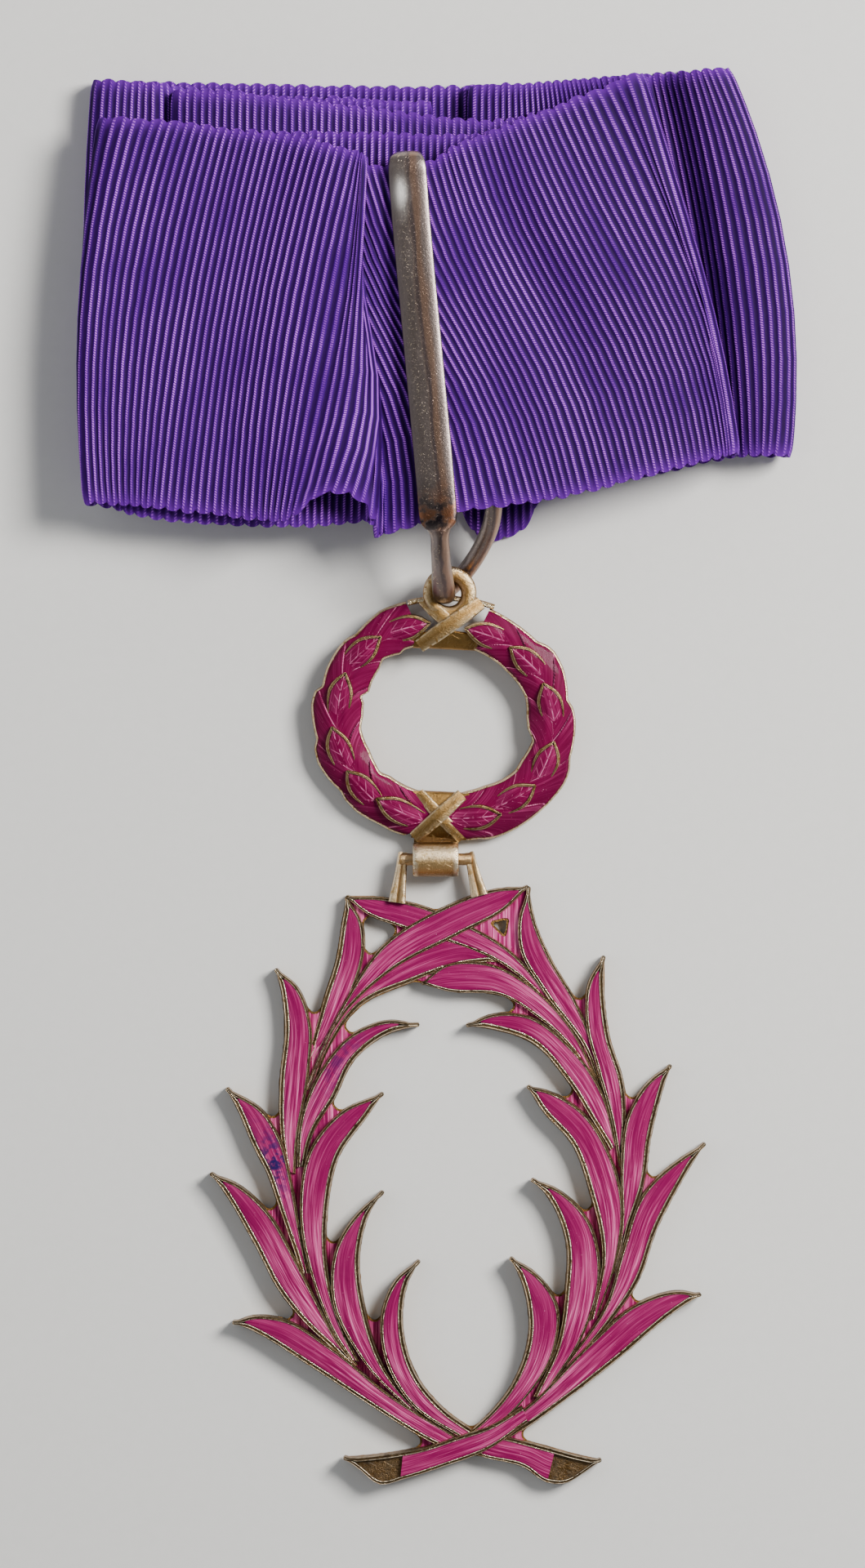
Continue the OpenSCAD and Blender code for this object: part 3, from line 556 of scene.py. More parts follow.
# %% The metal of one leaf
def rimmed_leaf(metal, tip, one, other, rims, top, base, rings=LEAF_RINGS, profile=RIM, swell=None):
    """The metal of a leaf: a solid whose top is a cell between two rims."""
    a, b, shares = leaf_edges(tip, one, other, rings)
    width = np.linalg.norm(b - a, axis=1)
    inward = unit(b - a)
    inward[width < 1e-6] = inward[np.argmax(width > 1e-3)]
    shrink = [np.minimum(swell(shares) if swell else 1, 0.49 * width / rim) for rim in rims]
    sides = []
    for edge, way, rim, small in ((a, inward, rims[0], shrink[0]), (b, -inward, rims[1], shrink[1])):
        column = edge[:, None] + way[:, None] * (profile[None, :, 0, None] * (rim * small)[:, None, None])
        under = profile[None, :, 1]
        height = top(column, shares[:, None]) - np.where(under > CELL * 0.9, under, under * small[:, None])
        height[:, -1] = top(column[:, -1:], shares[:, None])[:, 0] - CELL * small ** 2
        height = np.maximum(height, base + 0.1)
        height[:, 0] = base
        sides.append(np.dstack([column, height]))
    rings_all = np.concatenate([sides[0], sides[1][:, ::-1]], axis=1)
    marks = np.concatenate([profile[:, 2:], profile[::-1, 2:]])
    metal.add(rings_all, loft(rings_all), **{
        key: np.tile(marks[:, k], rings) for k, key in enumerate(("crest", "hollow", "wall"))})


print("metal of a palm's leaf:", LEAF_RINGS, "rings of", 2 * len(RIM), "points")


# %% The enamel of one leaf
def leaf_glass(glass, tip, one, other, rims, top, seed, start=0.0, rings=LEAF_RINGS, columns=17,
               stain=0.0, pale=None, ridges=0.018, swell=None):
    """The enamel in a leaf's cell: a lens of glass with long low ridges, closed underneath."""
    a, b, shares = leaf_edges(tip, one, other, 240)
    width = np.linalg.norm(b - a, axis=1)
    first = max(np.argmax(width > sum(rims) + 0.02), np.searchsorted(shares, start))
    pick = shares[first] + (shares[-1] - shares[first]) * np.linspace(0, 1, rings) ** 1.2
    a, b = (np.stack([np.interp(pick, shares, edge[:, k]) for k in (0, 1)], 1) for edge in (a, b))
    width = np.linalg.norm(b - a, axis=1)
    inward = unit(b - a)
    grow = 0.93 * (swell(pick) if swell else np.ones(rings))
    a, b = a + inward * (rims[0] * grow)[:, None], b - inward * (rims[1] * grow)[:, None]
    width = np.maximum(width - grow * sum(rims), 0.01)
    v = (1 - np.cos(np.linspace(0, math.pi, columns))) / 2
    flat = a[:, None] + (b - a)[:, None] * v[None, :, None]
    rise = -0.07 + np.minimum(0.11, width * 0.06)[:, None] * (4 * v * (1 - v))[None]
    ripple = np.cos(2 * math.pi * (v[None] - 0.5) * np.maximum(2, np.round(width / 0.42))[:, None])
    rise = rise + ridges * ripple * (4 * v * (1 - v))[None] * np.minimum(1, width / 1.0)[:, None]
    upper = np.dstack([flat, top(flat, pick[:, None]) + rise])
    ends = flat[:, [-1, 0]]
    lower = np.dstack([ends, top(ends, pick[:, None]) - CELL + 0.02])
    ring = np.concatenate([upper, lower], axis=1)
    far = along((a + b) / 2) + shares[first] * 20
    run = np.broadcast_to(far[:, None], ring.shape[:2])
    across = np.concatenate([(v[None] - 0.5) * width[:, None],
                             np.stack([width / 2, -width / 2], 1)], 1)
    share = np.broadcast_to(pick[:, None], ring.shape[:2])
    light = pale(share) if pale else 0.12 + 0.55 * ease(0.20, 0.65, share) + 0.35 * ease(0.72, 1, share)
    # `edge` is 1 within 0.12 mm of the rims and underneath; the finish darkens the enamel there
    edge = np.concatenate([np.maximum(0, 1 - np.minimum(v, 1 - v)[None] * width[:, None] / 0.12),
                           np.ones((rings, 2))], 1)
    spot = stain * np.exp(-((share - 0.45) / 0.16) ** 2)
    glass.add(ring, loft(ring), run=run.ravel(), side=across.ravel(), seed=np.full(run.size, seed),
              pale=light.ravel(), edge=edge.ravel(), stain=spot.ravel())


def from_hinge(stock):
    """Moves points that were measured from the hinge to their place in the part."""
    for points in stock.points:
        points += hinge


print("the hinge's axis goes through", hinge.tolist())

# %% Build the palms' leaves
LEAF_H = 1.4       # height of the lowest leaves' crests
palm_metal = Stock()
palm_glass = [Stock(), Stock()]
for palm, rows in enumerate((left_leaves, right_leaves)):
    for i, (tip, one, other, lift, rim_a, rim_b) in enumerate(rows):
        def top(points, share, lift=lift):
            sink = 0.16 * (1 - ease(0, 0.05, share)) + 0.30 * ease(0.55, 1.0, share)
            return LEAF_H + lift - sink + np.zeros(points.shape[:-1])
        rimmed_leaf(palm_metal, tip, one, other, (rim_a, rim_b), top, 0.012 * (i + 11 * palm))
        stain = {5: 1.0, 4: 0.5}.get(i, 0.0) if palm == 0 else 0.0
        leaf_glass(palm_glass[palm], tip, one, other, (rim_a, rim_b), top, i + 20 * palm, stain=stain)
print("leaf metal:", palm_metal.count, "points; glass:", [s.count for s in palm_glass])

# %% [markdown]
# ### The cut stems
#
# The two stalks cross at the foot and each ends in a slanting cut. They are built as leaves too,
# whose enamel starts only where the cut ends; the cut itself is the bare cell, scooped and gilt.

# %% The stems
stems = [   # tip, one edge, other edge, height, where the enamel starts, palm
    [[16.55, -59.9],
     [[14.0, -59.35], [11.0, -58.5], [7.9, -57.7], [3.0, -56.8]],
     [[14.9, -61.15], [12.8, -62.3], [11.1, -62.2], [8.8, -60.7], [4.85, -59.7], [0.0, -58.0]],
     LEAF_H + 0.35, 0.34, 0],
    [[-9.22, -59.65],
     [[-5.2, -59.25], [-1.1, -58.5], [1.85, -57.5], [5.4, -56.3], [8.6, -54.4]],
     [[-7.6, -60.9], [-5.6, -62.35], [-3.1, -61.8], [0.4, -60.7], [5.4, -58.8], [9.2, -56.2]],
     LEAF_H + 0.85, 0.32, 1],
]
STEM_RIMS = 0.55, 0.45
CUT_RIM = RIM.copy()
CUT_RIM[-1, 2:] = 0.05, 0.6, 0.6       # the bare cell of a cut is dark amber, not black
for tip, one, other, height, start, palm in stems:
    def top(points, share, height=height):
        level = height - 0.10 * (1 - ease(0, 0.06, share)) - 0.2 * ease(0.8, 1.0, share)
        return level + np.zeros(points.shape[:-1])
    rimmed_leaf(palm_metal, tip, one, other, STEM_RIMS, top, 0.30 + 0.02 * palm, profile=CUT_RIM)
    leaf_glass(palm_glass[palm], tip, one, other, STEM_RIMS, top, 40 + palm, start=start,
               pale=lambda share: 0.2 + 0.2 * share)
print("stems:", len(stems), "leaf metal is now", palm_metal.count, "points")

# %% [markdown]
# ### The hanger
#
# A pin with a leg at each end. Each leg is a flat bar that widens towards the palms, with bright
# corners painted as highlights over rubbed gilding, and one faint groove down its middle.

# %% Bars, and turned parts
def bar(stock, line, widths, section, marks):
    """A bar along a line of points; section rows are share of half width, height over the line."""
    line, widths = np.asarray(line, float), np.asarray(widths, float)
    way = unit(np.gradient(line, axis=0))
    side = unit(np.cross(way, [0, 0, 1.0]))
    up = np.cross(side, way)
    section = np.asarray(section, float)
    ring = (line[:, None] + side[:, None] * (section[None, :, 0] * widths[:, None])[..., None]
            + up[:, None] * section[None, :, 1][..., None])
    stock.add(ring, loft(ring), **{key: np.tile(value, len(line)) for key, value in marks.items()})


def turned(stock, profile, start, axis, steps, **marks):
    """A profile of (distance along, radius) turned round an axis and closed on itself."""
    axis = unit(np.array(axis, float))
    u = unit(np.cross(axis, [0.3, 0.9, 0.1]))
    w = np.cross(axis, u)
    angle = np.linspace(0, 2 * math.pi, steps, endpoint=False)
    spoke = np.cos(angle)[:, None] * u + np.sin(angle)[:, None] * w
    profile = np.asarray(profile, float)
    rings = (np.array(start, float) + profile[None, :, 0, None] * axis
             + profile[None, :, 1, None] * spoke[:, None])
    stock.add(rings, loft(rings, closed=True), **{k: np.tile(v, steps) for k, v in marks.items()})


trial = Stock()
turned(trial, [(0, 1), (2, 1), (2, 2), (0, 2)], [0, 0, 0], [1, 0, 0], 48)
print("a turned ring with 4 corners:", trial.count, "points")

# %% Build the hanger
HINGE_Z = 1.75       # height of the hinge's axis over the surface
PIN_R = 0.6
hanger = Stock()
leg = np.array([[-1.0, -0.55], [-1.0, 0.14], [-0.88, 0.34], [-0.72, 0.40], [-0.30, 0.37], [-0.12, 0.28],
                [0.06, 0.28], [0.16, 0.37], [0.72, 0.40], [0.88, 0.34], [1.0, 0.14], [1.0, -0.55]])
# the corners are painted bright as highlights over rubbed gilding, and the groove and the lower edges are
# darkened as painted shade
leg_marks = {"crest": [0, .2, .9, .3, .1, 0, 0, .3, .3, .9, .2, 0],
             "hollow": [.6, .1, 0, 0, .2, .7, .5, .1, 0, 0, .1, .6],
             "wall": [1, .8, .2, 0, 0, 0, 0, 0, 0, .2, .8, 1]}
for top_x, foot_x, foot_y in ((-3.25, -3.85, -4.3), (3.35, 4.35, -3.6)):
    share = np.linspace(0, 1, 14)
    line = np.stack([top_x + (foot_x - top_x) * share, 0.5 + (foot_y - 0.5) * share,
                     np.full_like(share, HINGE_Z - 0.05)], 1)
    line[0, 2] -= 0.25
    bar(hanger, line, 0.50 + 0.38 * share ** 1.6, leg, marks=leg_marks)
turned(hanger, [(-3.55, 0.02), (-3.55, PIN_R - 0.12), (-3.45, PIN_R), (3.5, PIN_R), (3.6, PIN_R - 0.12),
                (3.6, 0.02)], [0, 0, HINGE_Z], [1, 0, 0], 40, crest=np.zeros(6) + 0.2, wall=np.zeros(6) + .3)
print("hanger:", hanger.count, "points")

# %% The palms become pieces
for stock in (palm_metal, *palm_glass, hanger):
    from_hinge(stock)
piece("palms_gilt", palm_metal, palm_gilt, "gilt_metal", "palms", "palms_metal", sharp=28)
piece("hanger_gilt", hanger, hinge_gilt, "gilt_metal", "palms", sharp=40)
piece("left_palm_glass", palm_glass[0], palm_enamel, "enamel", "palms", "left_palm_enamel", sharp=60)
piece("right_palm_glass", palm_glass[1], palm_enamel, "enamel", "palms", "right_palm_enamel", sharp=60)

# %% [markdown]
# ## The bed of the palms
#
# Between the leaves the plate shows as small webs of pink enamel with hollow outer edges. Their
# shape is what a round cutter leaves: the union of all leaves, grown by the cutter's radius and
# shrunk again. That is easy on a fine grid of squares, where growing is a blur with a round
# brush. The grid's edge is then walked round, smoothed, and filled as one flat outline.

# %% Draw the leaves on a grid, and grow and shrink them
STEP = 0.1         # side of one square, in millimetres
GRID_X, GRID_Y = np.arange(-24.5, 29.0, STEP), np.arange(-64.5, 0.5, STEP)


def inside(outline):
    """Which squares of the grid lie inside an outline."""
    hit = np.zeros((len(GRID_Y), len(GRID_X)), bool)
    ends = np.roll(outline, -1, axis=0)
    for (x0, y0), (x1, y1) in zip(outline, ends):
        rows = np.nonzero((GRID_Y >= min(y0, y1)) & (GRID_Y < max(y0, y1)))[0]
        cross_x = x0 + (GRID_Y[rows] - y0) * (x1 - x0) / (y1 - y0 or 1)
        hit[rows] ^= GRID_X[None] > cross_x[:, None]
    return hit


def brushed(field, radius):
    """The field under a round brush, whose weights add up to 1."""
    reach = int(radius / STEP) + 2
    k = np.arange(-reach, reach + 1) * STEP
    disc = np.clip((radius - np.hypot(k[:, None], k[None])) / STEP + 0.5, 0, 1)
    kernel = np.zeros(field.shape)
    kernel[:2 * reach + 1, :2 * reach + 1] = disc / disc.sum()
    kernel = np.roll(kernel, (-reach, -reach), (0, 1))
    return np.fft.irfft2(np.fft.rfft2(field) * np.fft.rfft2(kernel), field.shape)


def grown(field, radius):
    return brushed(field.astype(float), radius) > 1e-3


disc = np.hypot(GRID_X[None], GRID_Y[:, None] + 30) < 3
print("squares in a disc:", disc.sum(), "and when grown by 1 mm:", grown(disc, 1.0).sum())


# %% Walk round a mask
SHORTEST = 25      # points of the shortest outline that is kept


def outlines(field):
    """The smooth outlines of a mask, each walked round with its inside on the left."""
    soft = brushed(field.astype(float), 0.16)
    solid = soft > 0.5
    link = {}
    for (dy, dx), a, b in (((0, 1), (0, 1), (1, 1)), ((0, -1), (1, 0), (0, 0)),
                           ((1, 0), (1, 1), (1, 0)), ((-1, 0), (0, 0), (0, 1))):
        edge = solid & ~np.roll(solid, (-dy, -dx), (0, 1))
        for y, x in zip(*np.nonzero(edge)):
            link.setdefault((y + a[0], x + a[1]), []).append((y + b[0], x + b[1]))
    loops = []
    while link:
        start = at = next(iter(link))
        loop = []
        while at in link:
            loop.append(at)
            ways = link[at]
            nxt = ways.pop()
            if not ways:
                del link[at]
            at = nxt
            if at == start:
                break
        if len(loop) >= SHORTEST:
            line = np.array(loop, float)[:, ::-1] - 0.5
            for _ in range(6):
                line = (np.roll(line, 1, 0) + 2 * line + np.roll(line, -1, 0)) / 4
            line = line[::2] * STEP + [GRID_X[0], GRID_Y[0]]
            loops.append(line)
    return loops


print("outline of the disc:", len(outlines(disc)[0]), "points")


# %% Fill outlines as a flat solid
def slab(stock, loops, bottom, top, **marks):
    """A flat solid with these outlines; the longest is outside and the others are holes."""
    from mathutils.geometry import tessellate_polygon
    faces = tessellate_polygon([[(x, y, 0) for x, y in loop] for loop in loops])
    flat = np.concatenate(loops)
    n = len(flat)
    lower = np.column_stack([flat, np.full(n, bottom)])
    upper = np.column_stack([flat, np.full(n, top)])
    around, first = [], 0
    for loop in loops:
        m = len(loop)
        around += [(first + i, first + (i + 1) % m, n + first + (i + 1) % m, n + first + i) for i in range(m)]
        first += m
    lids = [face if np.cross(flat[face[1]] - flat[face[0]], flat[face[2]] - flat[face[0]]) > 0
            else face[::-1] for face in faces]
    stock.add(np.concatenate([lower, upper]),
              around + [tuple(n + k for k in f) for f in lids] + [f[::-1] for f in lids],
              **{key: np.full(2 * n, value) for key, value in marks.items()})


trial = Stock()
slab(trial, outlines(disc), 0.0, 1.0)
print("slab of the disc:", trial.count, "points")

# %% The bed is what the cutter leaves round the leaves
leaf_mask = np.zeros((len(GRID_Y), len(GRID_X)), bool)
for tip, one, other, *_ in left_leaves + right_leaves + stems:
    round_way = [smooth_line([tip] + edge, 4) for edge in (one, other)]
    leaf_mask |= inside(np.concatenate([round_way[0], round_way[1][:0:-1]]))
crossing_web = np.array([[5.0, -5.3], [7.6, -4.3], [9.0, -5.7], [8.5, -8.5], [6.5, -8.8], [4.6, -7.2]])
crossing_hole = np.array([[5.55, -6.35], [7.15, -6.0], [6.85, -7.65]])
WEB_R = 0.6
bed_mask = ~grown(~grown(leaf_mask | inside(crossing_web), WEB_R), WEB_R) & ~inside(crossing_hole)
bed_loops = outlines(bed_mask)
bed = Stock()
slab(bed, bed_loops, 0.30, 0.98, wall=0.6)
print("bed outlines:", [len(loop) for loop in bed_loops])

# %% The enamel in the webs
web_glass = Stock()
shrunk = ~grown(~bed_mask, 0.22)
slab(web_glass, outlines(shrunk), 0.9, 1.08)
flat = web_glass.points[0]
# painted highlight: the webs' enamel is marked pale all over, for the glassy shine of their meniscus
web_glass.marks[0] = {"run": flat[:, 1] * 0.8, "side": flat[:, 0] * 0.5, "seed": np.full(len(flat), 3.0),
                      "pale": np.full(len(flat), 0.95)}
for stock in (bed, web_glass):
    from_hinge(stock)
piece("palms_bed", bed, palm_gilt, "gilt_metal", "palms", sharp=40)
piece("palms_web_glass", web_glass, palm_enamel, "enamel", "palms", sharp=60)

# %% [markdown]
# ## The wreath
#
# A narrow domed band of enamel lies between two thin gilt rims. Low steps and thin lines show the
# leaves of its inner and outer rows, which all point away from the tie at the foot. Six thick-
# rimmed laurel leaves lie on it in each half. They are made with the same tools as the palms',
# but their height follows the dome of the band, and everything is then tipped up about the hinge.

# %% Where things lie on the wreath
WREATH_W, WREATH_H, BAND_W = 26.8, 24.4, 5.3
HALF_A, HALF_B = (WREATH_W - BAND_W) / 2, (WREATH_H - BAND_W) / 2    # of the band's middle line
WREATH_T, DOME_RISE = 1.25, 0.85                 # height of the band's edges, and its rise
LEAN, TIP = math.radians(-2.75), math.radians(3)     # turned in its plane, and tipped up
WREATH_X, WREATH_Y = 1.0, 14.0                   # the wreath's middle, from the hinge
print("band's middle line:", 2 * HALF_A, "x", 2 * HALF_B, "mm")


def dome(points):
    """Height of the band over a place: round across the band, and high in its middle."""
    x, y = points[..., 0], points[..., 1]
    angle = np.arctan2(x / HALF_A, -y / HALF_B)
    middle = np.hypot(HALF_A * np.sin(angle), HALF_B * np.cos(angle))
    out = (np.hypot(x, y) - middle) / (BAND_W / 2)
    return WREATH_T + DOME_RISE * (1 - np.clip(np.abs(out), 0, 1.15) ** 2)


def on_wreath(stock, flat=False):
    """Moves points from the wreath's own drawing to their place, tipped up about the hinge."""
    for p in stock.points:
        if not flat:
            x, y = p[:, 0].copy(), p[:, 1].copy()
            p[:, 0] = x * math.cos(LEAN) - y * math.sin(LEAN) + WREATH_X
            p[:, 1] = x * math.sin(LEAN) + y * math.cos(LEAN) + WREATH_Y
        y, z = p[:, 1].copy(), p[:, 2] - HINGE_Z
        p[:, 1] = y * math.cos(TIP) - z * math.sin(TIP)
        p[:, 2] = y * math.sin(TIP) + z * math.cos(TIP) + HINGE_Z
        p += hinge


LAUREL_STEPS = 60


def laurel(tip, middle, base, width, tail):
    """Both edges of a laurel leaf, from its tip to its base."""
    t = np.linspace(0, 1, LAUREL_STEPS)[:, None] ** 1.1
    line = tip * (2 * t - 1) * (t - 1) + middle * 4 * t * (1 - t) + base * t * (2 * t - 1)
    way = unit(tip * (4 * t - 3) + middle * (4 - 8 * t) + base * (4 * t - 1))
    left = np.stack([-way[:, 1], way[:, 0]], 1)
    share = along(line)[:, None] / along(line)[-1]
    half = width / 2 * np.sin(np.pi / 2 * np.minimum(1, share / 0.45)) ** 0.8 \
        * (1 - tail * np.clip((share - 0.5) / 0.5, 0, 1) ** 1.5)
    return line + left * half, line - left * half


# %% The band under the leaves: its two outlines, as shares of half its width, at angles from the foot
outer_edge = {
    -1: [(0, 1.04), (15, 1.06), (28, 1.02), (38, 1.09), (46, 1.04), (50, .95), (58, 1.06), (66, 1.13),
         (73, 1.06), (77, .90), (84, .95), (94, 1.04), (100, 1.0), (103, .78), (112, .88), (124, .93),
         (129, .91), (133, .80), (149, 1.03), (163, .99), (180, .97)],
    1: [(0, 1.05), (10, 1.08), (24, 1.20), (31, 1.20), (47, 1.16), (62, 1.16), (68, 1.08), (74, .90),
        (81, .87), (92, .84), (98, .78), (103, .62), (110, .74), (118, .86), (127, .92), (131, .86),
        (136, .68), (150, .72), (163, .81), (180, .95)],
}
inner_edge = {
    -1: [(0, -.74), (23, -.75), (37, -.77), (44, -.65), (50, -.74), (61, -.86), (79, -.84), (89, -.96),
         (99, -.93), (104, -.76), (109, -.97), (118, -.88), (128, -.79), (135, -.60), (147, -.79),
         (153, -.70), (180, -.80)],
    1: [(0, -.76), (14, -.80), (29, -.80), (41, -.69), (52, -.64), (61, -.72), (77, -.68), (85, -.96),
        (94, -1.03), (110, -.92), (135, -.95), (153, -.90), (164, -.86), (180, -.85)],
}
STEP_A = 0.4            # degrees from one ring to the next
LEAF_A = 26.6           # degrees from one leaf to the next
wreath_rim = np.array([[0.00, 9.0, 0.0, 0.5, 1.0], [0.03, 0.45, 0.0, 0.2, 1.0], [0.22, 0.06, 0.3, 0, 0.3],
                       [0.40, 0.0, 0.8, 0.1, 0], [0.70, 0.0, 0.5, 0.3, 0], [0.85, 0.06, 0.1, 0.6, 0],
                       [1.00, 0.30, 0.0, 1.0, 0]])
print("corners of the outlines:", [len(outer_edge[side]) + len(inner_edge[side]) for side in (-1, 1)])


# %% Read the outlines, and tell the leaves of the band apart
def edge_at(table, angle):
    """A softly rounded outline from a table of corners."""
    corners = np.array(table, float)
    places = np.arange(-20, 200, 0.5)
    brush_weights = np.hanning(9) / np.hanning(9).sum()
    fine = np.interp(places, corners[:, 0], corners[:, 1])
    return np.interp(angle, places, np.convolve(np.pad(fine, 4, "edge"), brush_weights, "valid"))


def band_places(side, angle, out):
    """Places on the band: side -1 or 1, angle from the foot, and out from -1 inside to 1 outside."""
    angle, out = np.broadcast_arrays(np.radians(angle), out)
    return np.stack([side * (HALF_A + out * BAND_W / 2) * np.sin(angle),
                     -(HALF_B + out * BAND_W / 2) * np.cos(angle)], -1)


def ground_leaf(angle, out, first):
    """How far across its leaf a place of the band is, 0 to 1, and the leaf's number."""
    back = 24.0 * (1 - np.clip(np.abs(out), 0, 1)) ** 1.25
    count = (angle + back - np.where(out > 0, first, first + 11)) / LEAF_A
    return count - np.floor(count), count


def slant(angle, out, start, end):
    """Moves the ends of the band so that they run along the ties."""
    ends = end + np.where(out > 0, -1.5, -1.0 if end > 163 else -8.0) * np.abs(out) ** 1.2
    starts = start + 11.0 * np.abs(out) ** 1.4
    at_end = (end - ends) * ease(end - 20, end, angle)
    at_start = (starts - start) * (1 - ease(start, start + 22, angle))
    return angle - at_end + at_start


print("outer edge at 90 degrees:", [round(float(edge_at(outer_edge[side], 90)), 2) for side in (-1, 1)])

# %% Build the band: its rims, and the domed enamel between them
wreath_metal, wreath_enamel = Stock(), Stock()
RIM_OUT = 0.105         # width of the outer rim, as a share of half the band
for side, start, end, first in ((-1, 4.0, 162.0, 23.5), (1, 0.5, 164.0, 22.5)):
    angle = np.arange(start, end, STEP_A)
    outer, inner = edge_at(outer_edge[side], angle), edge_at(inner_edge[side], angle)
    columns = [inner[:, None] + RIM_OUT * wreath_rim[None, :, 0],
               outer[:, None] - RIM_OUT * wreath_rim[None, ::-1, 0]]
    down = np.r_[wreath_rim[:, 1], wreath_rim[::-1, 1]]
    out = np.concatenate(columns, 1)
    flat = band_places(side, slant(angle[:, None], out, start, end), out)
    height = dome(flat) + 0.05 - down
    height = np.where(down > 5, 0.12, height)
    rings = np.dstack([flat, height])
    marks = np.concatenate([wreath_rim[:, 2:], wreath_rim[::-1, 2:]])
    wreath_metal.add(rings, loft(rings), **{key: np.tile(marks[:, k], len(angle))
                                            for k, key in enumerate(("crest", "hollow", "wall"))})
    share = (1 - np.cos(np.linspace(0, math.pi, 44))) / 2
    low, high = inner + RIM_OUT * 0.8, outer - RIM_OUT * 0.8
    out = low[:, None] + (high - low)[:, None] * share[None]
    turned_angle = slant(angle[:, None], out, start, end)
    flat = band_places(side, turned_angle, out)
    across, number = ground_leaf(turned_angle, out, first)
    fades = ease(0, 0.12, 1 - np.abs(2 * share - 1))[None]
    step = 0.22 * across ** 1.3 * ease(0.08, 0.3, np.abs(out)) * fades
    upper = np.dstack([flat, dome(flat) - 0.02 + step])
    lower = np.dstack([flat[:, [-1, 0]], dome(flat[:, [-1, 0]]) - 0.35])
    rings = np.concatenate([upper, lower], 1)
    far = np.concatenate([(1 - np.abs(out)) * BAND_W * 0.8, np.zeros((len(angle), 2))], 1)
    wide = np.concatenate([(across - 0.5) * 2.6, np.zeros((len(angle), 2))], 1)
    seed = np.concatenate([np.floor(number) * 1.7 + 30 * (out > 0), np.zeros((len(angle), 2))], 1) + side
    pale = 0.10 + 0.35 * ease(0.55, 0.95, across) * ease(0.2, 0.6, np.abs(out)) \
        + 0.2 * (1 - ease(0, .15, across))
    pale = np.concatenate([pale, np.zeros((len(angle), 2))], 1)
    # painted shade: the outer slope of the band is painted darker, more on the right half, and so is the
    # start of each leaf of the band after its step
    shade = (0.30 + 0.25 * (side > 0)) * ease(0.1, 0.9, out)      # the outer slope lies in shade
    edge = np.concatenate([np.maximum(1 - ease(0, 0.10, across), shade), np.ones((len(angle), 2))], 1)
    number = np.concatenate([number + 40, np.full((len(angle), 2), 40.5)], 1)
    wreath_enamel.add(rings, loft(rings), run=far.ravel(), side=wide.ravel(), seed=seed.ravel(),
                      pale=pale.ravel(), edge=edge.ravel(), count=number.ravel())
print("band:", wreath_metal.count, "points of metal,", wreath_enamel.count, "of enamel")

# %% The middle leaves, which lie on the band: tip angle and place, base angle and place
middle_leaves = {
    -1: [(35.6, .20, 7.5, .33), (57.1, .26, 31.5, .35), (82.9, .23, 54.5, .20), (114.7, .17, 85.3, .02),
         (142.6, .16, 114.5, .28), (169.6, .03, 142.4, .20)],
    1: [(30.6, .42, 4.5, .12), (53.6, .28, 27.2, .11), (80.3, .10, 54.0, .25), (116.0, -.08, 88.0, .07),
        (144.9, -.14, 116.1, .07), (172.2, -.14, 143.4, -.01)],
}
# across a laurel leaf's rim, as in RIM: bright corners painted as highlights over rubbed gilding, and a dark
# flat between them in painted shade over tarnish
leaf_rim = np.array([[0.00, 9.0, 0.0, 0.6, 1.0], [0.04, 0.30, 0.0, 0.4, 0.6], [0.12, 0.07, 0.3, 0.3, 0.2],
                     [0.22, 0.0, 0.30, 0.4, 0], [0.50, -0.02, 0.0, 0.55, 0], [0.80, 0.0, 0.35, 0.4, 0],
                     [0.92, 0.07, 0.1, 0.8, 0], [1.00, 0.24, 0.0, 1.0, 0]])
count = 0
for side in (-1, 1):
    for i, (tip_a, tip_out, base_a, base_out) in reversed(list(enumerate(middle_leaves[side]))):
        tip, base = band_places(side, tip_a, tip_out), band_places(side, base_a, base_out)
        half_way = band_places(side, (tip_a + base_a) / 2, (tip_out + base_out) / 2)
        middle = (half_way + (tip + base) / 2) / 2
        one, other = laurel(tip, middle, base, 2.6, tail=0.42)

        def top(points, share, order=0.03 * (6 - i)):
            return dome(points) + 0.28 + order - 0.50 * ease(0.45, 1.0, share)

        def swell(share):
            return 1.15 - 0.85 * ease(0.2, 0.9, share)

        rimmed_leaf(wreath_metal, tip, one[1:], other[1:], (0.42, 0.42), top, 0.25 + 0.004 * count, rings=44,
                    profile=leaf_rim, swell=swell)
        leaf_glass(wreath_enamel, tip, one[1:], other[1:], (0.42, 0.42), top, count, rings=44, columns=19,
                   ridges=0.0, pale=lambda share: 0.22 + 0.3 * ease(0.45, 1, share), swell=swell)
        bright = wreath_enamel.marks[-1]["run"] * 0 + 1
        wreath_enamel.marks[-1].update(veined=bright, count=bright * 0.5)
        count += 1
print("laurel leaves:", count)

# %% [markdown]
# ### Veins
#
# Each laurel leaf shows a pale line down its middle and pairs of side veins that run forward to
# the edge. They are drawn by the finish from `run` and `side`: the middle line is where `side`
# is near 0, and the side veins are where run plus a share of |side| is near a whole step. The
# leaves of the band below have no drawn veins, only streaks that run to their tips.

# %% Veins in the wreath's enamel
tree = wreath_glass.node_tree
shader = tree.nodes["Principled BSDF"]
run, side = mark(tree, "run"), mark(tree, "side")
away = maths(tree, "ABSOLUTE", side)
middle_vein = inverse(tree, band(tree, away, 0.02, 0.08))
lean_run = plus(tree, times(tree, run, 0.95), times(tree, away, 1.15))
saw = maths(tree, "ABSOLUTE", minus(tree, maths(tree, "FRACT", lean_run), 0.5))
side_veins = times(tree, inverse(tree, band(tree, saw, 0.02, 0.08)),
                   inverse(tree, band(tree, away, 0.55, 0.95)))
veins = maths(tree, "MAXIMUM", middle_vein, times(tree, side_veins, 0.6))
broken = band(tree, noise(tree, place(tree), 1300.0, 3), 0.38, 0.62)
veins = times(tree, times(tree, veins, broken), mark(tree, "veined"))
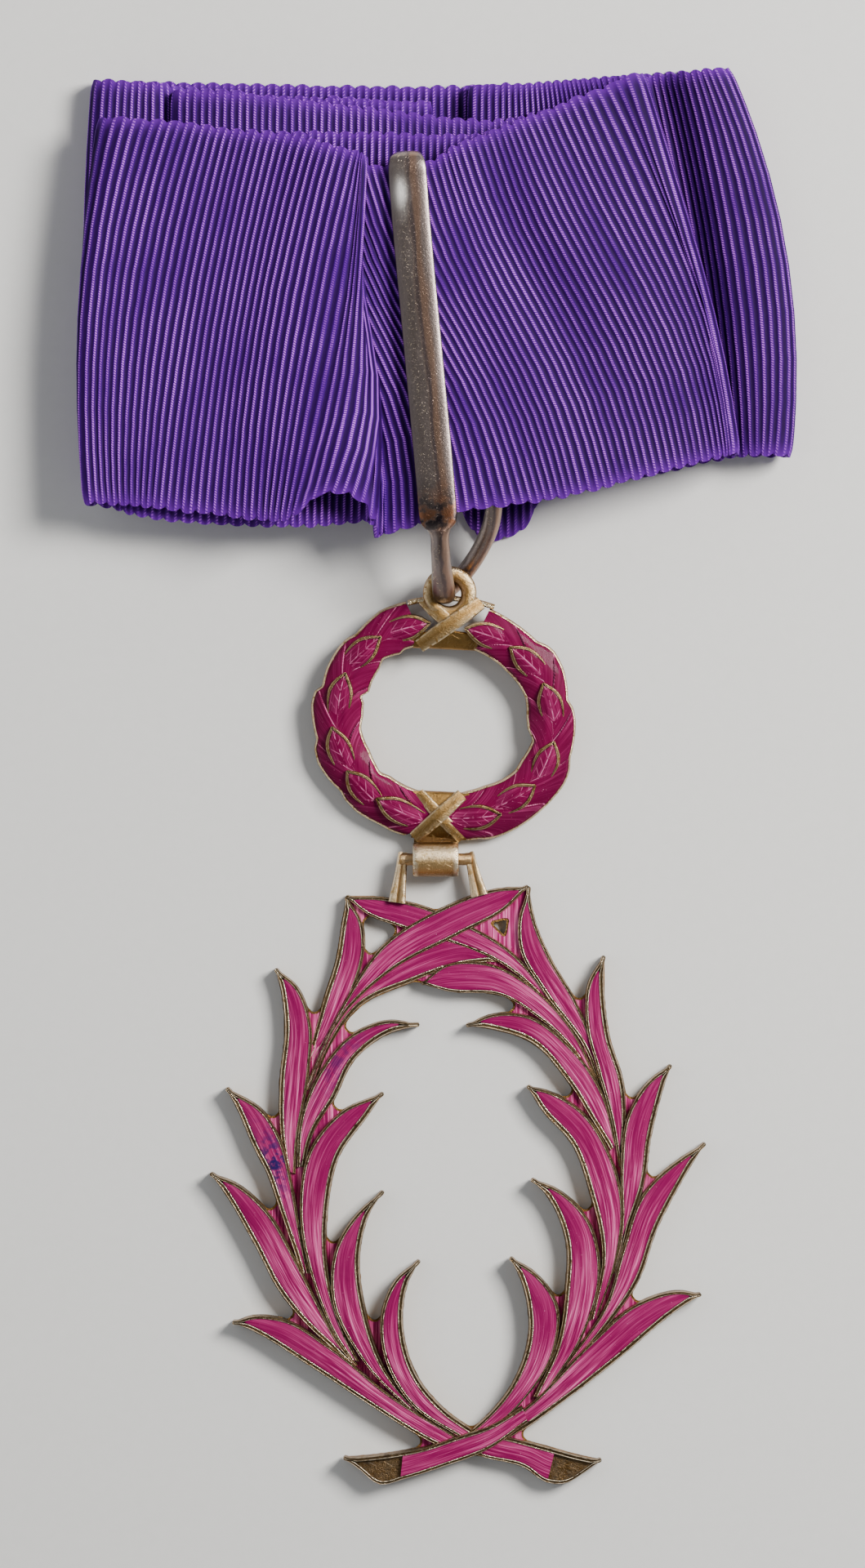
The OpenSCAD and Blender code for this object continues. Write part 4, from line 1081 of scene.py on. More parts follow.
# the leaves of the band end in pale lines, where their count passes a whole number
part = maths(tree, "FRACT", mark(tree, "count"))
seam = inverse(tree, band(tree, maths(tree, "MINIMUM", part, inverse(tree, part)),
                          0.006, 0.022))
worn_seam = times(tree, seam, band(tree, noise(tree, place(tree), 700.0, 3), 0.32, 0.62))
veins = maths(tree, "MAXIMUM", times(tree, veins, 0.75), times(tree, worn_seam, 0.8))
under = shader.inputs["Base Color"].links[0].from_socket
put(tree, shader, Base_Color=mix(tree, veins, under, paint(232, 130, 178)))
on_wreath(wreath_metal)
on_wreath(wreath_enamel)
piece("wreath_leaves_gilt", wreath_metal, wreath_gilt, "gilt_metal", "ribbon_and_wreath",
      "wreath_metal", sharp=30)
piece("wreath_leaves_glass", wreath_enamel, wreath_glass, "enamel", "ribbon_and_wreath",
      "wreath_enamel", sharp=40)

# %% [markdown]
# ### The ties
#
# At the head and at the foot two gilt straps cross over the band. They are flat bars that follow
# the dome, with soft edges that are painted bright, partly rubbed gilding and partly a painted
# highlight; the one that lies on top runs from lower left to upper right.

# %% Straps, plates and rims of the ties
strap_section = np.array([[-1, -0.5], [-1, -0.06], [-0.9, 0.03], [-0.7, 0.07], [0, 0.10], [0.7, 0.07],
                          [0.9, 0.03], [1, -0.06], [1, -0.5]])
# `crest` paints the soft edges bright, partly rubbed gilding and partly painted highlight; `hollow` darkens
# the lower edges as painted shade
strap_marks = {"crest": [0, 0.3, 0.7, 0.1, 0, 0.2, 0.9, 0.5, 0],
               "hollow": [.9, .5, .1, .1, .3, .1, 0, .3, .9],
               "wall": [1, .6, 0, 0, 0, 0, 0, .6, 1]}
STRAP_END = 0.86         # width of a strap's ends, as a share of its middle's width


def strap(stock, start, end, half, lift):
    share = np.linspace(0, 1, 26)
    line = np.array(start) + (np.array(end) - np.array(start)) * share[:, None]
    height = dome(line) + lift
    widths = half * (STRAP_END + (1 - STRAP_END) * np.sin(np.pi * share))
    bar(stock, np.column_stack([line, height]), widths, strap_section, marks=strap_marks)


def tie_plate(stock, left, right, inner, outer, lift):
    """A domed plate under the straps: rings from left to right, across the band."""
    xs = np.linspace(left, right, 20)
    rings = []
    for x in xs:
        ys = np.linspace(inner(x), outer(x), 15)
        upper = np.column_stack([np.full(15, x), ys])
        height = dome(upper) + lift
        height[[0, -1]] -= 0.12
        inner_foot, outer_foot = [[x, ys[0], 0.02]], [[x, ys[-1], 0.02]]
        rings.append(np.concatenate([inner_foot, np.column_stack([upper, height]), outer_foot]))
    rings = np.array(rings)
    hollow = np.tile(np.r_[0.6, 0.2, np.full(13, 0.3), 0.2, 0.6], len(xs))
    stock.add(rings, loft(rings), hollow=hollow, wall=np.tile(np.r_[1, .5, np.zeros(13), .5, 1], len(xs)))


print("a strap's section:", len(strap_section), "points")

# %% Build the ties
ties = Stock()
# the head: a flat foot, the two straps, and a thin rim that bridges the pierced corners
tie_plate(ties, -3.7, 2.8, lambda x: HALF_B - BAND_W / 2 + 0.02,
          lambda x: HALF_B - 0.7 + 0.12 * x * (x < 0) - 0.1 * x * (x > 0), 0.02)
strap(ties, (-2.85, HALF_B + 2.25), (0.5, HALF_B - 0.5), 0.74, 0.18)
strap(ties, (-3.0, HALF_B - 2.4), (2.95, HALF_B + 2.2), 0.80, 0.46)
# the rim's top is painted bright by `crest`, a painted highlight over rubbed gilding
rim_angle = np.radians(np.linspace(180 - 19, 180 + 19, 25))
rim_line = np.column_stack([(HALF_A + BAND_W / 2 - 0.2) * np.sin(rim_angle),
                            -(HALF_B + BAND_W / 2 - 0.2) * np.cos(rim_angle)])
bar(ties, np.column_stack([rim_line, np.full(25, WREATH_T + 0.34)]), np.full(25, 0.26),
    [[-1, -1.3], [-1, -0.1], [-0.5, 0.08], [0.5, 0.08], [1, -0.1], [1, -1.3]],
    marks={"crest": [0, 0.2, 1, 1, 0.2, 0], "wall": [1, 1, 0, 0, 1, 1]})
# the foot
tie_plate(ties, -2.9, 2.6, lambda x: -HALF_B - BAND_W / 2 + 0.08 + 0.1 * abs(x) / 3,
          lambda x: -HALF_B - BAND_W / 2 + 2.3 - 0.72 * abs(x), 0.05)
tie_plate(ties, -2.9, 2.7, lambda x: -HALF_B + BAND_W / 2 - 2.7 + 0.75 * abs(x),
          lambda x: -HALF_B + BAND_W / 2 - 0.4, 0.05)
strap(ties, (-2.35, -HALF_B + 2.1), (2.15, -HALF_B - 2.4), 0.62, 0.14)
strap(ties, (-2.6, -HALF_B - 2.45), (2.0, -HALF_B + 2.1), 0.74, 0.44)
on_wreath(ties)
print("ties:", ties.count, "points")

# %% [markdown]
# ### The eye and the sleeve
#
# The eye is a flat ring with rounded edges, and its hole sits a little to the left, as on the
# badge. The sleeve is a strip that is rolled round the hanger's pin, so a small gap shows where
# its end meets the strip again. Both are turned or lofted, and not cut out, to keep soft edges.

# %% The eye
EYE = np.array([1.1, 26.55])
EYE_STEPS = 64
angle = np.linspace(0, 2 * math.pi, EYE_STEPS, endpoint=False)
outer = EYE + [0.3, 0] + 2.66 * np.stack([np.cos(angle), np.sin(angle)], 1)
inner = EYE + [0.2, -0.1] + 1.22 * np.stack([np.cos(angle), np.sin(angle)], 1)
eye_profile = [(0.00, 1.15), (0.00, 1.75), (0.10, 2.05), (0.30, 2.20), (0.62, 2.20), (0.84, 2.10),
               (0.96, 1.90), (1.00, 1.60), (1.00, 1.15)]
rings = np.stack([np.column_stack([outer * (1 - share) + inner * share, np.full(EYE_STEPS, z)])
                  for share, z in eye_profile], 1)
eye = Stock()
# the ring's top corners are painted bright by `crest`, painted highlights over rubbed gilding; `hollow`
# paints the wall of the hole darker towards the floor as painted shade
eye.add(rings, loft(rings, closed=True), crest=np.tile([0, 0, .8, .3, 0, .3, 0, 0, 0], EYE_STEPS),
        wall=np.tile([1, 1, .4, 0, 0, 0, .4, .8, 1], EYE_STEPS),
        hollow=np.tile([.5, 0, 0, 0, 0, 0, .2, .6, .9], EYE_STEPS))
on_wreath(eye, flat=True)
print("eye:", eye.count, "points")

# %% The sleeve
SLEEVE_L, SLEEVE_R, BORE = 4.55, 1.72, 0.68
SLEEVE_STEPS = 72
sleeve = Stock()
half = SLEEVE_L / 2
roll = [(-half, BORE), (-half, SLEEVE_R - 0.16), (-half + 0.05, SLEEVE_R - 0.05), (-half + 0.17, SLEEVE_R),
        (-half + 0.6, SLEEVE_R + 0.01), (half - 0.6, SLEEVE_R + 0.01), (half - 0.17, SLEEVE_R),
        (half - 0.05, SLEEVE_R - 0.05), (half, SLEEVE_R - 0.16), (half, BORE)]
turned(sleeve, roll, [0, 0, HINGE_Z], [1, 0, 0], SLEEVE_STEPS,
       crest=np.array([0, .2, .9, .8, .0, .0, .8, .9, .2, 0]),
       wall=np.array([1, .5, 0, 0, 0, 0, 0, 0, .5, 1]), hollow=np.array([1, .2, 0, 0, 0, 0, 0, 0, .2, 1]))
# 1 on the side towards the wreath, -1 on the side towards the palms
towards = np.clip((sleeve.points[-1][:, 1]) / SLEEVE_R, -1, 1)
sleeve_marks = sleeve.marks[-1]
# painted shade and highlight: the side towards the palms is painted in the wall colour and then the groove
# colour, the far side towards the wreath in the groove colour, and a bright band on top is a painted
# highlight
sleeve_marks.update(
    wall=np.maximum(sleeve_marks["wall"], 0.6 * ease(0.2, 1, -towards)),
    hollow=np.maximum(sleeve_marks["hollow"],
                      0.8 * ease(0.6, 1, -towards) + 0.9 * ease(0.84, 0.95, towards)),
    crest=np.maximum(sleeve_marks["crest"],
                     0.45 * ease(-0.2, 0.3, towards) * (1 - ease(0.75, 0.92, towards))))
# painted shade: the tab is painted all in the groove colour, as a dark strip between the sleeve and the
# wreath
tab_line = np.array([[0, y, 1.5] for y in np.linspace(1.2, 3.1, 6)])
bar(sleeve, tab_line, np.full(6, half - 0.1),
    [[-1, -0.7], [-1, -0.08], [-0.97, 0], [0.97, 0], [1, -0.08], [1, -0.7]],
    marks={"hollow": [1, 1, 0.9, 0.9, 1, 1], "wall": [0, 0, 0, 0, 0, 0]})
on_wreath(sleeve, flat=True)
piece("wreath_ties", ties, wreath_gilt, "gilt_metal", "ribbon_and_wreath", sharp=40)
piece("eye", eye, wreath_gilt, "gilt_metal", "ribbon_and_wreath", sharp=50)
piece("hinge_sleeve", sleeve, hinge_gilt, "gilt_metal", "ribbon_and_wreath", sharp=50)

# %% [markdown]
# ## The neck ribbon
#
# The ribbon is one long strip of ribbed silk, 37 mm wide. Fat weft cords make the ribs, and at
# each edge the weft turns back in small loops, one loop for two ribs. It is folded to and fro in
# flat layers. A cloth simulation would not lie in these exact folds, and a bump map would leave
# the edges straight, so the strip is built rib by rib: a smooth path through the folds is cut at
# even steps of a fifth of a rib, and at each step a ring goes round the strip's section.

# %% The folds behind: foot x, foot y, head x, head y, bow at half height, layer before, layer after
RIB = 0.75           # from one rib to the next
LAYER = 1.1          # from one layer to the next


def layer_z(layer):
    return layer * LAYER + 0.5


hidden_ribs = [
    [-10.7, 29.2, -10.7, 67.9, 0, 1, 1], [-1.9, 29.6, -1.0, 67.2, 0, 1, 2],
    [-25.9, 28.0, -25.3, 68.2, 0, 2, 3], [-6.2, 29.0, -6.2, 66.5, 0, 3, 3],
    [6.4, 29.5, 5.4, 65.3, 0, 3, 3], [25.0, 32.2, 17.0, 67.2, 0, 3, 4],
    [5.4, 28.5, 4.6, 63.9, 0, 4, 4], [-7.0, 25.8, -6.4, 64.0, 0, 4, 4],
    [-19.0, 25.4, -19.0, 64.2, 0, 4, 4], [-29.5, 26.4, -28.5, 65.0, 0, 4, 4],
]
left_fold = [-33.6, 27.4, -33.0, 65.3, -1.3, 4, 4]
right_fold = [29.3, 32.5, 20.0, 69.8, 0.8, 2, 2]
back_ribs = [
    [3.8, 28.8, 4.3, 68.9, 0, 2, 1], [24.0, 31.0, 18.0, 69.6, 0.3, 1, 1],
    [28.6, 32.1, 22.6, 69.9, 0.9, 1.1, 1.1], [31.4, 32.4, 25.6, 70.2, 1.3, 2.8, 2.8],
    [33.8, 32.4, 27.8, 70.5, 2.6, 2.9, 0], [11.5, 29.5, 11.5, 69.2, 0, 0, 0],
    [8.6, 24.9, 8.8, 69.0, 0, 0, 0], [4.6, 24.4, 4.8, 68.9, 0, 0, 0],
    [1.4, 28.9, 1.4, 68.9, 0, 0, 0], [-3.0, 29.0, -3.0, 68.9, 0, 0, 0],
    [-28.0, 28.8, -28.0, 69.35, -0.5, 0, 0], [-32.7, 28.8, -32.6, 69.4, -0.8, 0, 2.2],
    [-28.8, 28.9, -28.8, 69.1, -0.3, 2.2, 2.2], [-27.3, 28.9, -27.3, 69.0, -0.1, 2.2, 2.2],
    [-26.6, 28.9, -26.6, 68.9, 0, 1.8, 1.8], [-24.6, 29.0, -24.6, 68.7, 0, 1.2, 1.2],
    [-18.7, 29.0, -18.7, 68.4, 0, 1, 1],
]
print("rows behind:", len(hidden_ribs) + len(back_ribs) + 2)

# %% The front: foot x, foot y, height over the top layer, head x, head y, height, bow, sway
left_front = [
    [-34.2, 27.6, 0.0, -30.9, 65.4, 0.0, -1.7, 0], [-32.6, 27.5, 0.0, -28.4, 65.2, 0.1, -1.85, 0],
    [-30.1, 27.3, 0.05, -24.6, 65.0, 0.2, -1.5, 0], [-27.7, 27.1, 0.15, -21.3, 64.4, 0.4, -0.9, 0],
    [-24.3, 26.75, 0.3, -17.9, 64.0, 0.7, -0.75, 0], [-20.4, 26.3, 0.6, -14.1, 63.5, 1.2, -1.0, 0],
    [-18.5, 26.0, 0.9, -12.1, 63.1, 1.7, -1.15, 0], [-17.0, 25.9, 1.2, -10.65, 62.7, 2.0, -1.0, 0],
    [-15.9, 25.8, 1.5, -9.2, 62.3, 2.15, -0.6, 0], [-14.7, 25.9, 1.8, -7.7, 61.9, 2.2, -0.3, 0],
    [-13.6, 26.4, 2.1, -7.2, 61.7, 2.2, 0.8, 0], [-12.1, 27.7, 2.4, -7.05, 61.6, 2.2, 1.05, 0.1],
    [-10.6, 28.5, 2.6, -6.95, 61.5, 2.15, 1.2, 0.3], [-9.8, 28.5, 2.65, -6.9, 61.45, 1.9, 1.2, 0.6],
    [-8.4, 28.4, 2.55, -6.9, 61.4, 1.6, 0.6, 1.1], [-7.5, 27.9, 2.45, -6.9, 61.4, 1.2, 0.5, 1.1],
    [-6.7, 27.4, 2.3, -6.9, 61.4, 0.9, 0.3, 0.9],
]
slit = [-6.3, 26.0, 2.1, -7.1, 61.4, 0.8, 0.1, 0.6]         # the left part turns under here
tucked = [-5.4, 24.3, 0.5, -11.4, 61.2, 0.4, -0.2, 1.2]     # and comes back from here
right_front = [
    [-4.4, 24.6, 0.9, -11.2, 61.0, 0.4, -0.3, 1.3], [-3.0, 25.0, 1.4, -10.9, 60.8, 0.5, -0.3, 1.35],
    [-1.4, 25.4, 1.75, -10.4, 60.7, 0.6, -0.1, 1.3], [2.4, 26.6, 1.9, -9.3, 60.8, 0.9, 0.1, 1.1],
    [6.6, 27.2, 1.9, -7.2, 60.8, 1.6, 0.1, 0.85], [9.7, 27.6, 1.9, -4.3, 60.5, 1.8, 0.1, 0.75],
    [12.7, 28.1, 1.85, -0.75, 60.8, 1.9, 0.15, 0.75], [14.3, 28.5, 1.8, 0.8, 61.6, 1.9, 0.2, 0.75],
    [16.2, 28.9, 1.75, 2.0, 62.4, 1.85, 0.3, 0.75], [18.0, 29.4, 1.6, 3.8, 63.2, 1.8, 0.35, 0.75],
    [19.7, 29.9, 1.45, 5.5, 63.8, 1.7, 0.4, 0.75], [22.8, 30.7, 1.1, 8.1, 64.9, 1.5, 0.8, 0.7],
    [25.9, 31.5, 0.7, 11.3, 66.1, 1.1, 1.15, 0.65], [28.6, 32.2, 0.35, 15.0, 67.7, 0.6, 1.45, 0.55],
    [29.3, 32.4, 0.15, 17.6, 68.7, 0.25, 1.8, 0.3], [29.5, 32.5, 0.05, 20.0, 69.8, 0.1, 0.9, 0.2],
]
print("rows at the front:", len(left_front) + 2 + len(right_front))


# %% Ribs of the strip, from layer to layer
TURN_STEPS = 8


def turn_back(low, high, push):
    """The ribs round a half circle between two stations of the strip, pushed out sideways."""
    rows = []
    for a in np.linspace(0, math.pi, TURN_STEPS + 1):
        share = (1 - math.cos(a)) / 2
        row = low * (1 - share) + high * share
        out = push * abs(high[2] - low[2]) / 2 * math.sin(a)
        row[[0, 3]] += out
        rows.append(row)
    return rows


def station(row, layer):
    """Foot, head, bow, sway and share of the front, for a rib in a flat layer."""
    z = layer_z(layer)
    return np.array([row[0], row[1], z, row[2], row[3], z, row[4], 0, 0], float)


def lifted(row):
    z = layer_z(5)
    return np.array([row[0], row[1], z + row[2], row[3], row[4], z + row[5], row[6], row[7], 1], float)


def folded(rows, start_x=None):
    out = []
    for i, row in enumerate(rows):
        before, after = row[5], row[6]
        if before == after:
            out.append(station(row, before))
        else:
            last_x = rows[i - 1][0] if i else start_x
            out += turn_back(station(row, before), station(row, after), 1 if row[0] > last_x else -1)
    return out


print("height of the top layer:", layer_z(5), "mm")

# %% The path through the folds
path = folded(hidden_ribs) + turn_back(station(left_fold, 4), lifted(left_front[0]), -1)
path += [lifted(row) for row in left_front[1:]]
under = np.array(lifted(slit))
under[2], under[5] = under[2] - 0.85, lifted(tucked)[5] + 0.3
path += turn_back(lifted(slit), under, 1)
tuck_top = np.array(lifted(tucked))
tuck_top[2] += 0.7
tuck_top[5] += 0.6
path += turn_back(tuck_top, lifted(tucked), -1)
path += [lifted(row) for row in right_front[:-1]]
path += turn_back(lifted(right_front[-1]), station(right_fold, 2), 0.45) + folded(back_ribs, 24.0)
print("stations along the strip:", len(path))

# %% Cut the path at even steps
STEPS_A_RIB = 5
fine = smooth_line(path, 10)
upright = unit(fine[:, :3] - fine[:, 3:6])
upright = np.stack([-upright[:, 1], upright[:, 0], 0 * upright[:, 0]], 1)
middles = (fine[:, :3] + fine[:, 3:6]) / 2 + upright * fine[:, 6:7]
steps = [np.linalg.norm(np.cross(np.diff(ends, axis=0), unit(fine[1:, :3] - fine[1:, 3:6])), axis=1)
         for ends in (fine[:, :3], middles, fine[:, 3:6])]
steps = np.max([(steps[0] + 2 * steps[1] + steps[2]) / 4, 0.8 * steps[0], 0.7 * steps[2]], axis=0)
far = np.concatenate([[0], np.cumsum(steps)])
length = far[-1]
cuts = np.arange(0, length, RIB / STEPS_A_RIB)
strip = np.stack([np.interp(cuts, far, fine[:, k]) for k in range(9)], 1)
print(f"strip: {length:.1f} mm long, {length / RIB:.0f} ribs")

# %% Spread the sheet from foot to head at each step, with slow waves at the front
s = np.array([0, .006, .014, .03, .06, .13, .24, .36, .48, .60, .72, .83, .91, .955, .975, .987, .994, 1])
foot, head = strip[:, None, 0:3], strip[:, None, 3:6]
rib_way = unit(foot - head)
aside = np.concatenate([-rib_way[..., 1:2], rib_way[..., 0:1], 0 * rib_way[..., :1]], -1)
sheet = foot * (1 - s)[None, :, None] + head * s[None, :, None] \
    + aside * (4 * strip[:, None, 6:7] * (s * (1 - s))[None, :, None])
sheet[..., 0] += strip[:, 7:8] * np.sin(2 * np.pi * s)[None]
VALLEY_X, VALLEY_Y = 2.4, 57.2           # where the slanting valley starts
WAY_X, WAY_Y = 18.7, 11.3                # the direction across it


def soft_folds(x, y, front):
    """Slow waves of the cloth: a slanting valley right of the loop, puckers at the slit."""
    size = math.hypot(WAY_X, WAY_Y)
    across = ((x - VALLEY_X) * WAY_X + (y - VALLEY_Y) * WAY_Y) / size
    down = ((x - VALLEY_X) * WAY_Y - (y - VALLEY_Y) * WAY_X) / size
    reach = ease(-4, 6, down) * (1 - ease(16, 30, down))
    valley = -0.55 * np.exp(-((across - 2.5) / 3.2) ** 2) + 0.30 * np.exp(-((across - 9) / 4) ** 2)
    near_slit = np.exp(-((x + 9.5) / 3.2) ** 2)
    pucker = 0.10 * np.sin(y * 0.95 + x * 0.5) + 0.07 * np.sin(y * 1.9 - x * 0.8 + 1)
    slow = 0.05 * np.sin(x * 0.42 + 0.8) * np.sin(y * 0.21) + 0.04 * np.sin(x * 0.9 + y * 0.3)
    return front * (valley * reach * (x > 0) + pucker * near_slit * (x < -5.5) + slow)


front = strip[:, 8:9] * ease(0, 0.12, s)[None] * ease(0, 0.06, 1 - s)[None]
sheet[..., 2] += soft_folds(sheet[..., 0], sheet[..., 1], front)
print("sheet:", sheet.shape[0], "steps of", sheet.shape[1], "points; top at",
      round(float(sheet[..., 2].max()), 2), "mm")

# %% Put a ring round the strip at each step, with ribs on the faces and small loops at the edges
WALL, RELIEF, LOOP_OUT = 0.44, 0.14, 0.34
run_way, up_way = np.gradient(sheet, axis=0), np.gradient(sheet, s, axis=1)
face = unit(np.cross(run_way, up_way))
up_way = unit(up_way)
rib = np.abs(np.sin(np.pi * cuts / RIB)) ** 0.75
loops = np.abs(np.sin(np.pi * cuts / RIB / 2)) ** 0.8
rng = np.random.default_rng(7)
loop_size = 1 + 0.15 * rng.standard_normal(int(length / RIB / 2) + 2)[(cuts / RIB / 2).astype(int)]
edge_share = np.array([1, .8, .45, .12] + [0] * 14)
out = LOOP_OUT * (loops * loop_size)[:, None] * (edge_share[::-1] - edge_share)[None]
sheet = sheet + up_way * out[..., None]
thick = (WALL / 2 + RELIEF * rib[:, None]) * np.minimum(1, 0.45 + np.minimum(s, 1 - s) * 30)[None]
rings = np.concatenate([sheet + face * thick[..., None], (sheet - face * thick[..., None])[:, ::-1]], 1)
rings[..., 2] = np.maximum(rings[..., 2], 0.0)        # the undermost ribs are pressed flat by the floor
rise = np.linalg.norm(np.diff(sheet[len(sheet) // 2], axis=0), axis=1).sum() * s
ribbon = Stock()
ribbon.add(rings, loft(rings), run=np.repeat(cuts, 2 * len(s)),
           rise=np.tile(np.r_[rise, rise[::-1]], len(cuts)),
           selvedge=np.tile(np.r_[edge_share + edge_share[::-1], edge_share[::-1] + edge_share], len(cuts)))
print("ribbon:", len(cuts), "rings,", ribbon.count, "points")

# %% [markdown]
# ### The silk
#
# Each rib is wrapped in fine threads that look bright. Their highlight is painted as a row of
# short slanting lavender dashes along the rib's back, on deep violet, and the valley between two
# ribs is painted nearly black as shade. The pattern follows `run` and `rise`, the distances along
# and across the strip, so it turns with every fold. Sheen gives the soft bloom of silk where the
# cloth turns away.

# %% The ribbon's finish
silk, tree, shader = finish_of("violet silk")
run, rise_mark = mark(tree, "run"), mark(tree, "rise")
wander = times(tree, minus(tree, noise(tree, place(tree), 700.0, 2), 0.5), 0.10)
phase = plus(tree, maths(tree, "DIVIDE", run, RIB), wander)
in_rib = maths(tree, "FRACT", phase)
from_crest = maths(tree, "ABSOLUTE", minus(tree, in_rib, 0.46))
# painted highlight: `line` is the bright band on each rib's back; painted shade: `body_tone` is 0 in the
# valley between two ribs, which is painted nearly black
line = inverse(tree, band(tree, from_crest, 0.08, 0.19))
body_tone = inverse(tree, band(tree, from_crest, 0.10, 0.38))
slant = plus(tree, times(tree, rise_mark, 4.2), times(tree, in_rib, 1.5))
dash = band(tree, maths(tree, "ABSOLUTE", minus(tree, maths(tree, "FRACT", slant), 0.5)), 0.16, 0.30)
rib_number = maths(tree, "FLOOR", phase)
rib_tone = brush(tree, "TexWhiteNoise", {"noise_dimensions": "1D"}, W=rib_number).outputs["Value"]
patch = band(tree, noise(tree, place(tree), 110.0, 3), 0.3, 0.7)
shine = plus(tree, plus(tree, 0.10, times(tree, rib_tone, 0.45)), times(tree, patch, 0.60))
lit = times(tree, times(tree, line, plus(tree, 0.12, dash)), shine, clamp=True)
fibre = noise(tree, place(tree), 9000.0, 3, 0.7)
tint = mix(tree, body_tone, (0.016, 0.0002, 0.052, 1), (0.066, 0.002, 0.235, 1))
tint = mix(tree, times(tree, fibre, 0.2), tint, (0.03, 0.001, 0.09, 1))
# painted highlight: the lavender dashes where `lit` is 1
tint = mix(tree, lit, tint, (0.62, 0.16, 1.0, 1))
# painted shade: the cloth right of the loop is painted darker, as lying a little further from the light
right_side = brush(tree, "SeparateXYZ", Vector=place(tree)).outputs[0]
tint = mix(tree, times(tree, band(tree, right_side, -0.012, 0.03), 0.34), tint, (0.004, 0.0001, 0.012, 1))
loop_thread = times(tree, mark(tree, "selvedge"), 0.6)
tint = mix(tree, loop_thread, tint, (0.14, 0.012, 0.36, 1))
height = plus(tree, times(tree, times(tree, line, dash), 0.7), times(tree, fibre, 0.5))
put(tree, shader, Base_Color=tint, Roughness=minus(tree, 0.60, times(tree, lit, 0.2)),
    Normal=bump(tree, height, 0.00006, 0.8), Sheen_Weight=0.05, Sheen_Roughness=0.35,
    Sheen_Tint=(0.35, 0.10, 0.9, 1), Specular_IOR_Level=0.08)
strip_piece = piece("folded_ribbon", ribbon, silk, "ribbon", "ribbon_and_wreath", "neck_ribbon", sharp=70)

# %% [markdown]
# ## The ribbon loop
#
# One silver wire, hammered half round where it lies over the ribbon and left round behind it and
# through the eye. It is one loft round a closed line; each row of the table gives the place of
# the middle, half the width, and the thickness on the wire's two sides. A known fault: on the
# badge the domed side of the front bar faces up, and here it faces the ribbon. A bright line,
# painted as a highlight, is marked on the right shoulder of that domed side.

# %% The loop's line: x, y, z, half width, thickness on one side and on the other
WIRE = 0.87
FRONT, BEHIND = layer_z(5) + 2.85, layer_z(4) + 1.5
loop_rows = [
    [-2.1, 58.6, BEHIND, WIRE, WIRE, WIRE], [-2.2, 60.5, BEHIND, WIRE, WIRE, WIRE],
    [-2.5, 61.75, (BEHIND + FRONT) / 2, 1.35, 0.62, 0.5], [-2.62, 61.45, FRONT - 0.25, 1.66, 0.75, 0.3],
    [-2.62, 60.7, FRONT, 1.84, 1.2, 0.3], [-2.55, 59.4, FRONT, 1.9, 1.5, 0.3],
    [-2.42, 57.6, FRONT, 1.9, 1.5, 0.3], [-1.1, 43.0, FRONT, 1.9, 1.5, 0.3],
    [0.22, 28.6, FRONT, 1.9, 1.5, 0.3], [0.4, 26.4, FRONT, 1.88, 1.46, 0.3],
    [0.47, 25.6, FRONT - 0.04, 1.82, 1.3, 0.34], [0.52, 25.05, FRONT - 0.14, 1.55, 1.0, 0.5],
    [0.55, 24.75, FRONT - 0.25, 1.2, 0.9, 0.7], [0.58, 24.3, FRONT - 0.4, 1.0, WIRE, 0.8],
    [0.66, 22.6, 7.9, 0.95, WIRE, WIRE], [0.85, 20.2, 6.2, 1.05, WIRE, WIRE],
    [1.0, 18.7, 4.5, 1.15, WIRE, WIRE], [1.1, 18.3, 3.0, 1.1, WIRE, WIRE],
    [1.4, 18.8, 1.6, WIRE, WIRE, WIRE], [2.4, 19.8, 1.1, WIRE, WIRE, WIRE],
    [3.7, 21.4, 1.6, WIRE, WIRE, WIRE], [5.0, 23.6, 3.3, WIRE, WIRE, WIRE],
    [5.8, 25.8, 5.4, WIRE, WIRE, WIRE], [6.0, 27.8, BEHIND, WIRE, WIRE, WIRE],
    [5.0, 34.0, BEHIND, WIRE, WIRE, WIRE],
]
line = smooth_line(loop_rows, 10, closed=True)
print("loop's line:", round(float(along(line[:, :3])[-1]), 1), "mm long")

# %% The loop's skin
LOOP_SIDES = 40
way = unit(np.roll(line[:, :3], -1, 0) - np.roll(line[:, :3], 1, 0))
right = np.array([1.0, 0, 0])
side_way = unit(right - way * way[:, :1])
up = np.cross(side_way, way)
angle = np.linspace(0, 2 * math.pi, LOOP_SIDES, endpoint=False)
flatness = np.clip((line[:, 3] / WIRE - 1) / 1.1, 0, 1)[:, None]
c, v = np.cos(angle)[None], np.sin(angle)[None]
round_x = np.sign(c) * np.abs(c) ** (1 - 0.34 * flatness) * line[:, 3:4]
round_z = -np.sign(v) * np.abs(v) ** (1 - 0.18 * flatness) * np.where(v > 0, line[:, 5:6], line[:, 4:5])
rings = line[:, None, :3] + side_way[:, None] * round_x[..., None] + up[:, None] * round_z[..., None]
on_bar = flatness * (line[:, 2:3] > FRONT - 0.6)
# `shoulder` marks where a bright line is painted as a highlight, and `glint` a pale spot painted as a
# highlight near the head on the left
shoulder = np.exp(-((angle[None] - math.radians(360 - 30)) / 0.09) ** 2) * on_bar
BAR_HEAD, BAR_FOOT = 61.0, 25.2
from_head = (BAR_HEAD - line[:, 1:2]) / (BAR_HEAD - BAR_FOOT)
from_glint = from_head * (BAR_HEAD - BAR_FOOT) - 3.0
glint = np.exp(-((from_glint / 1.5) ** 2) - ((round_x + 0.8) / 0.55) ** 2) * on_bar
foot_end = ease(0.84, 1.0, from_head) * on_bar
loop = Stock()
loop.add(rings, loft(rings, closed=True), crest=shoulder.ravel(), side=(round_x / 1.9).ravel(),
         glint=glint.ravel(), foot_end=np.broadcast_to(foot_end, shoulder.shape).ravel())
print("loop:", loop.count, "points")

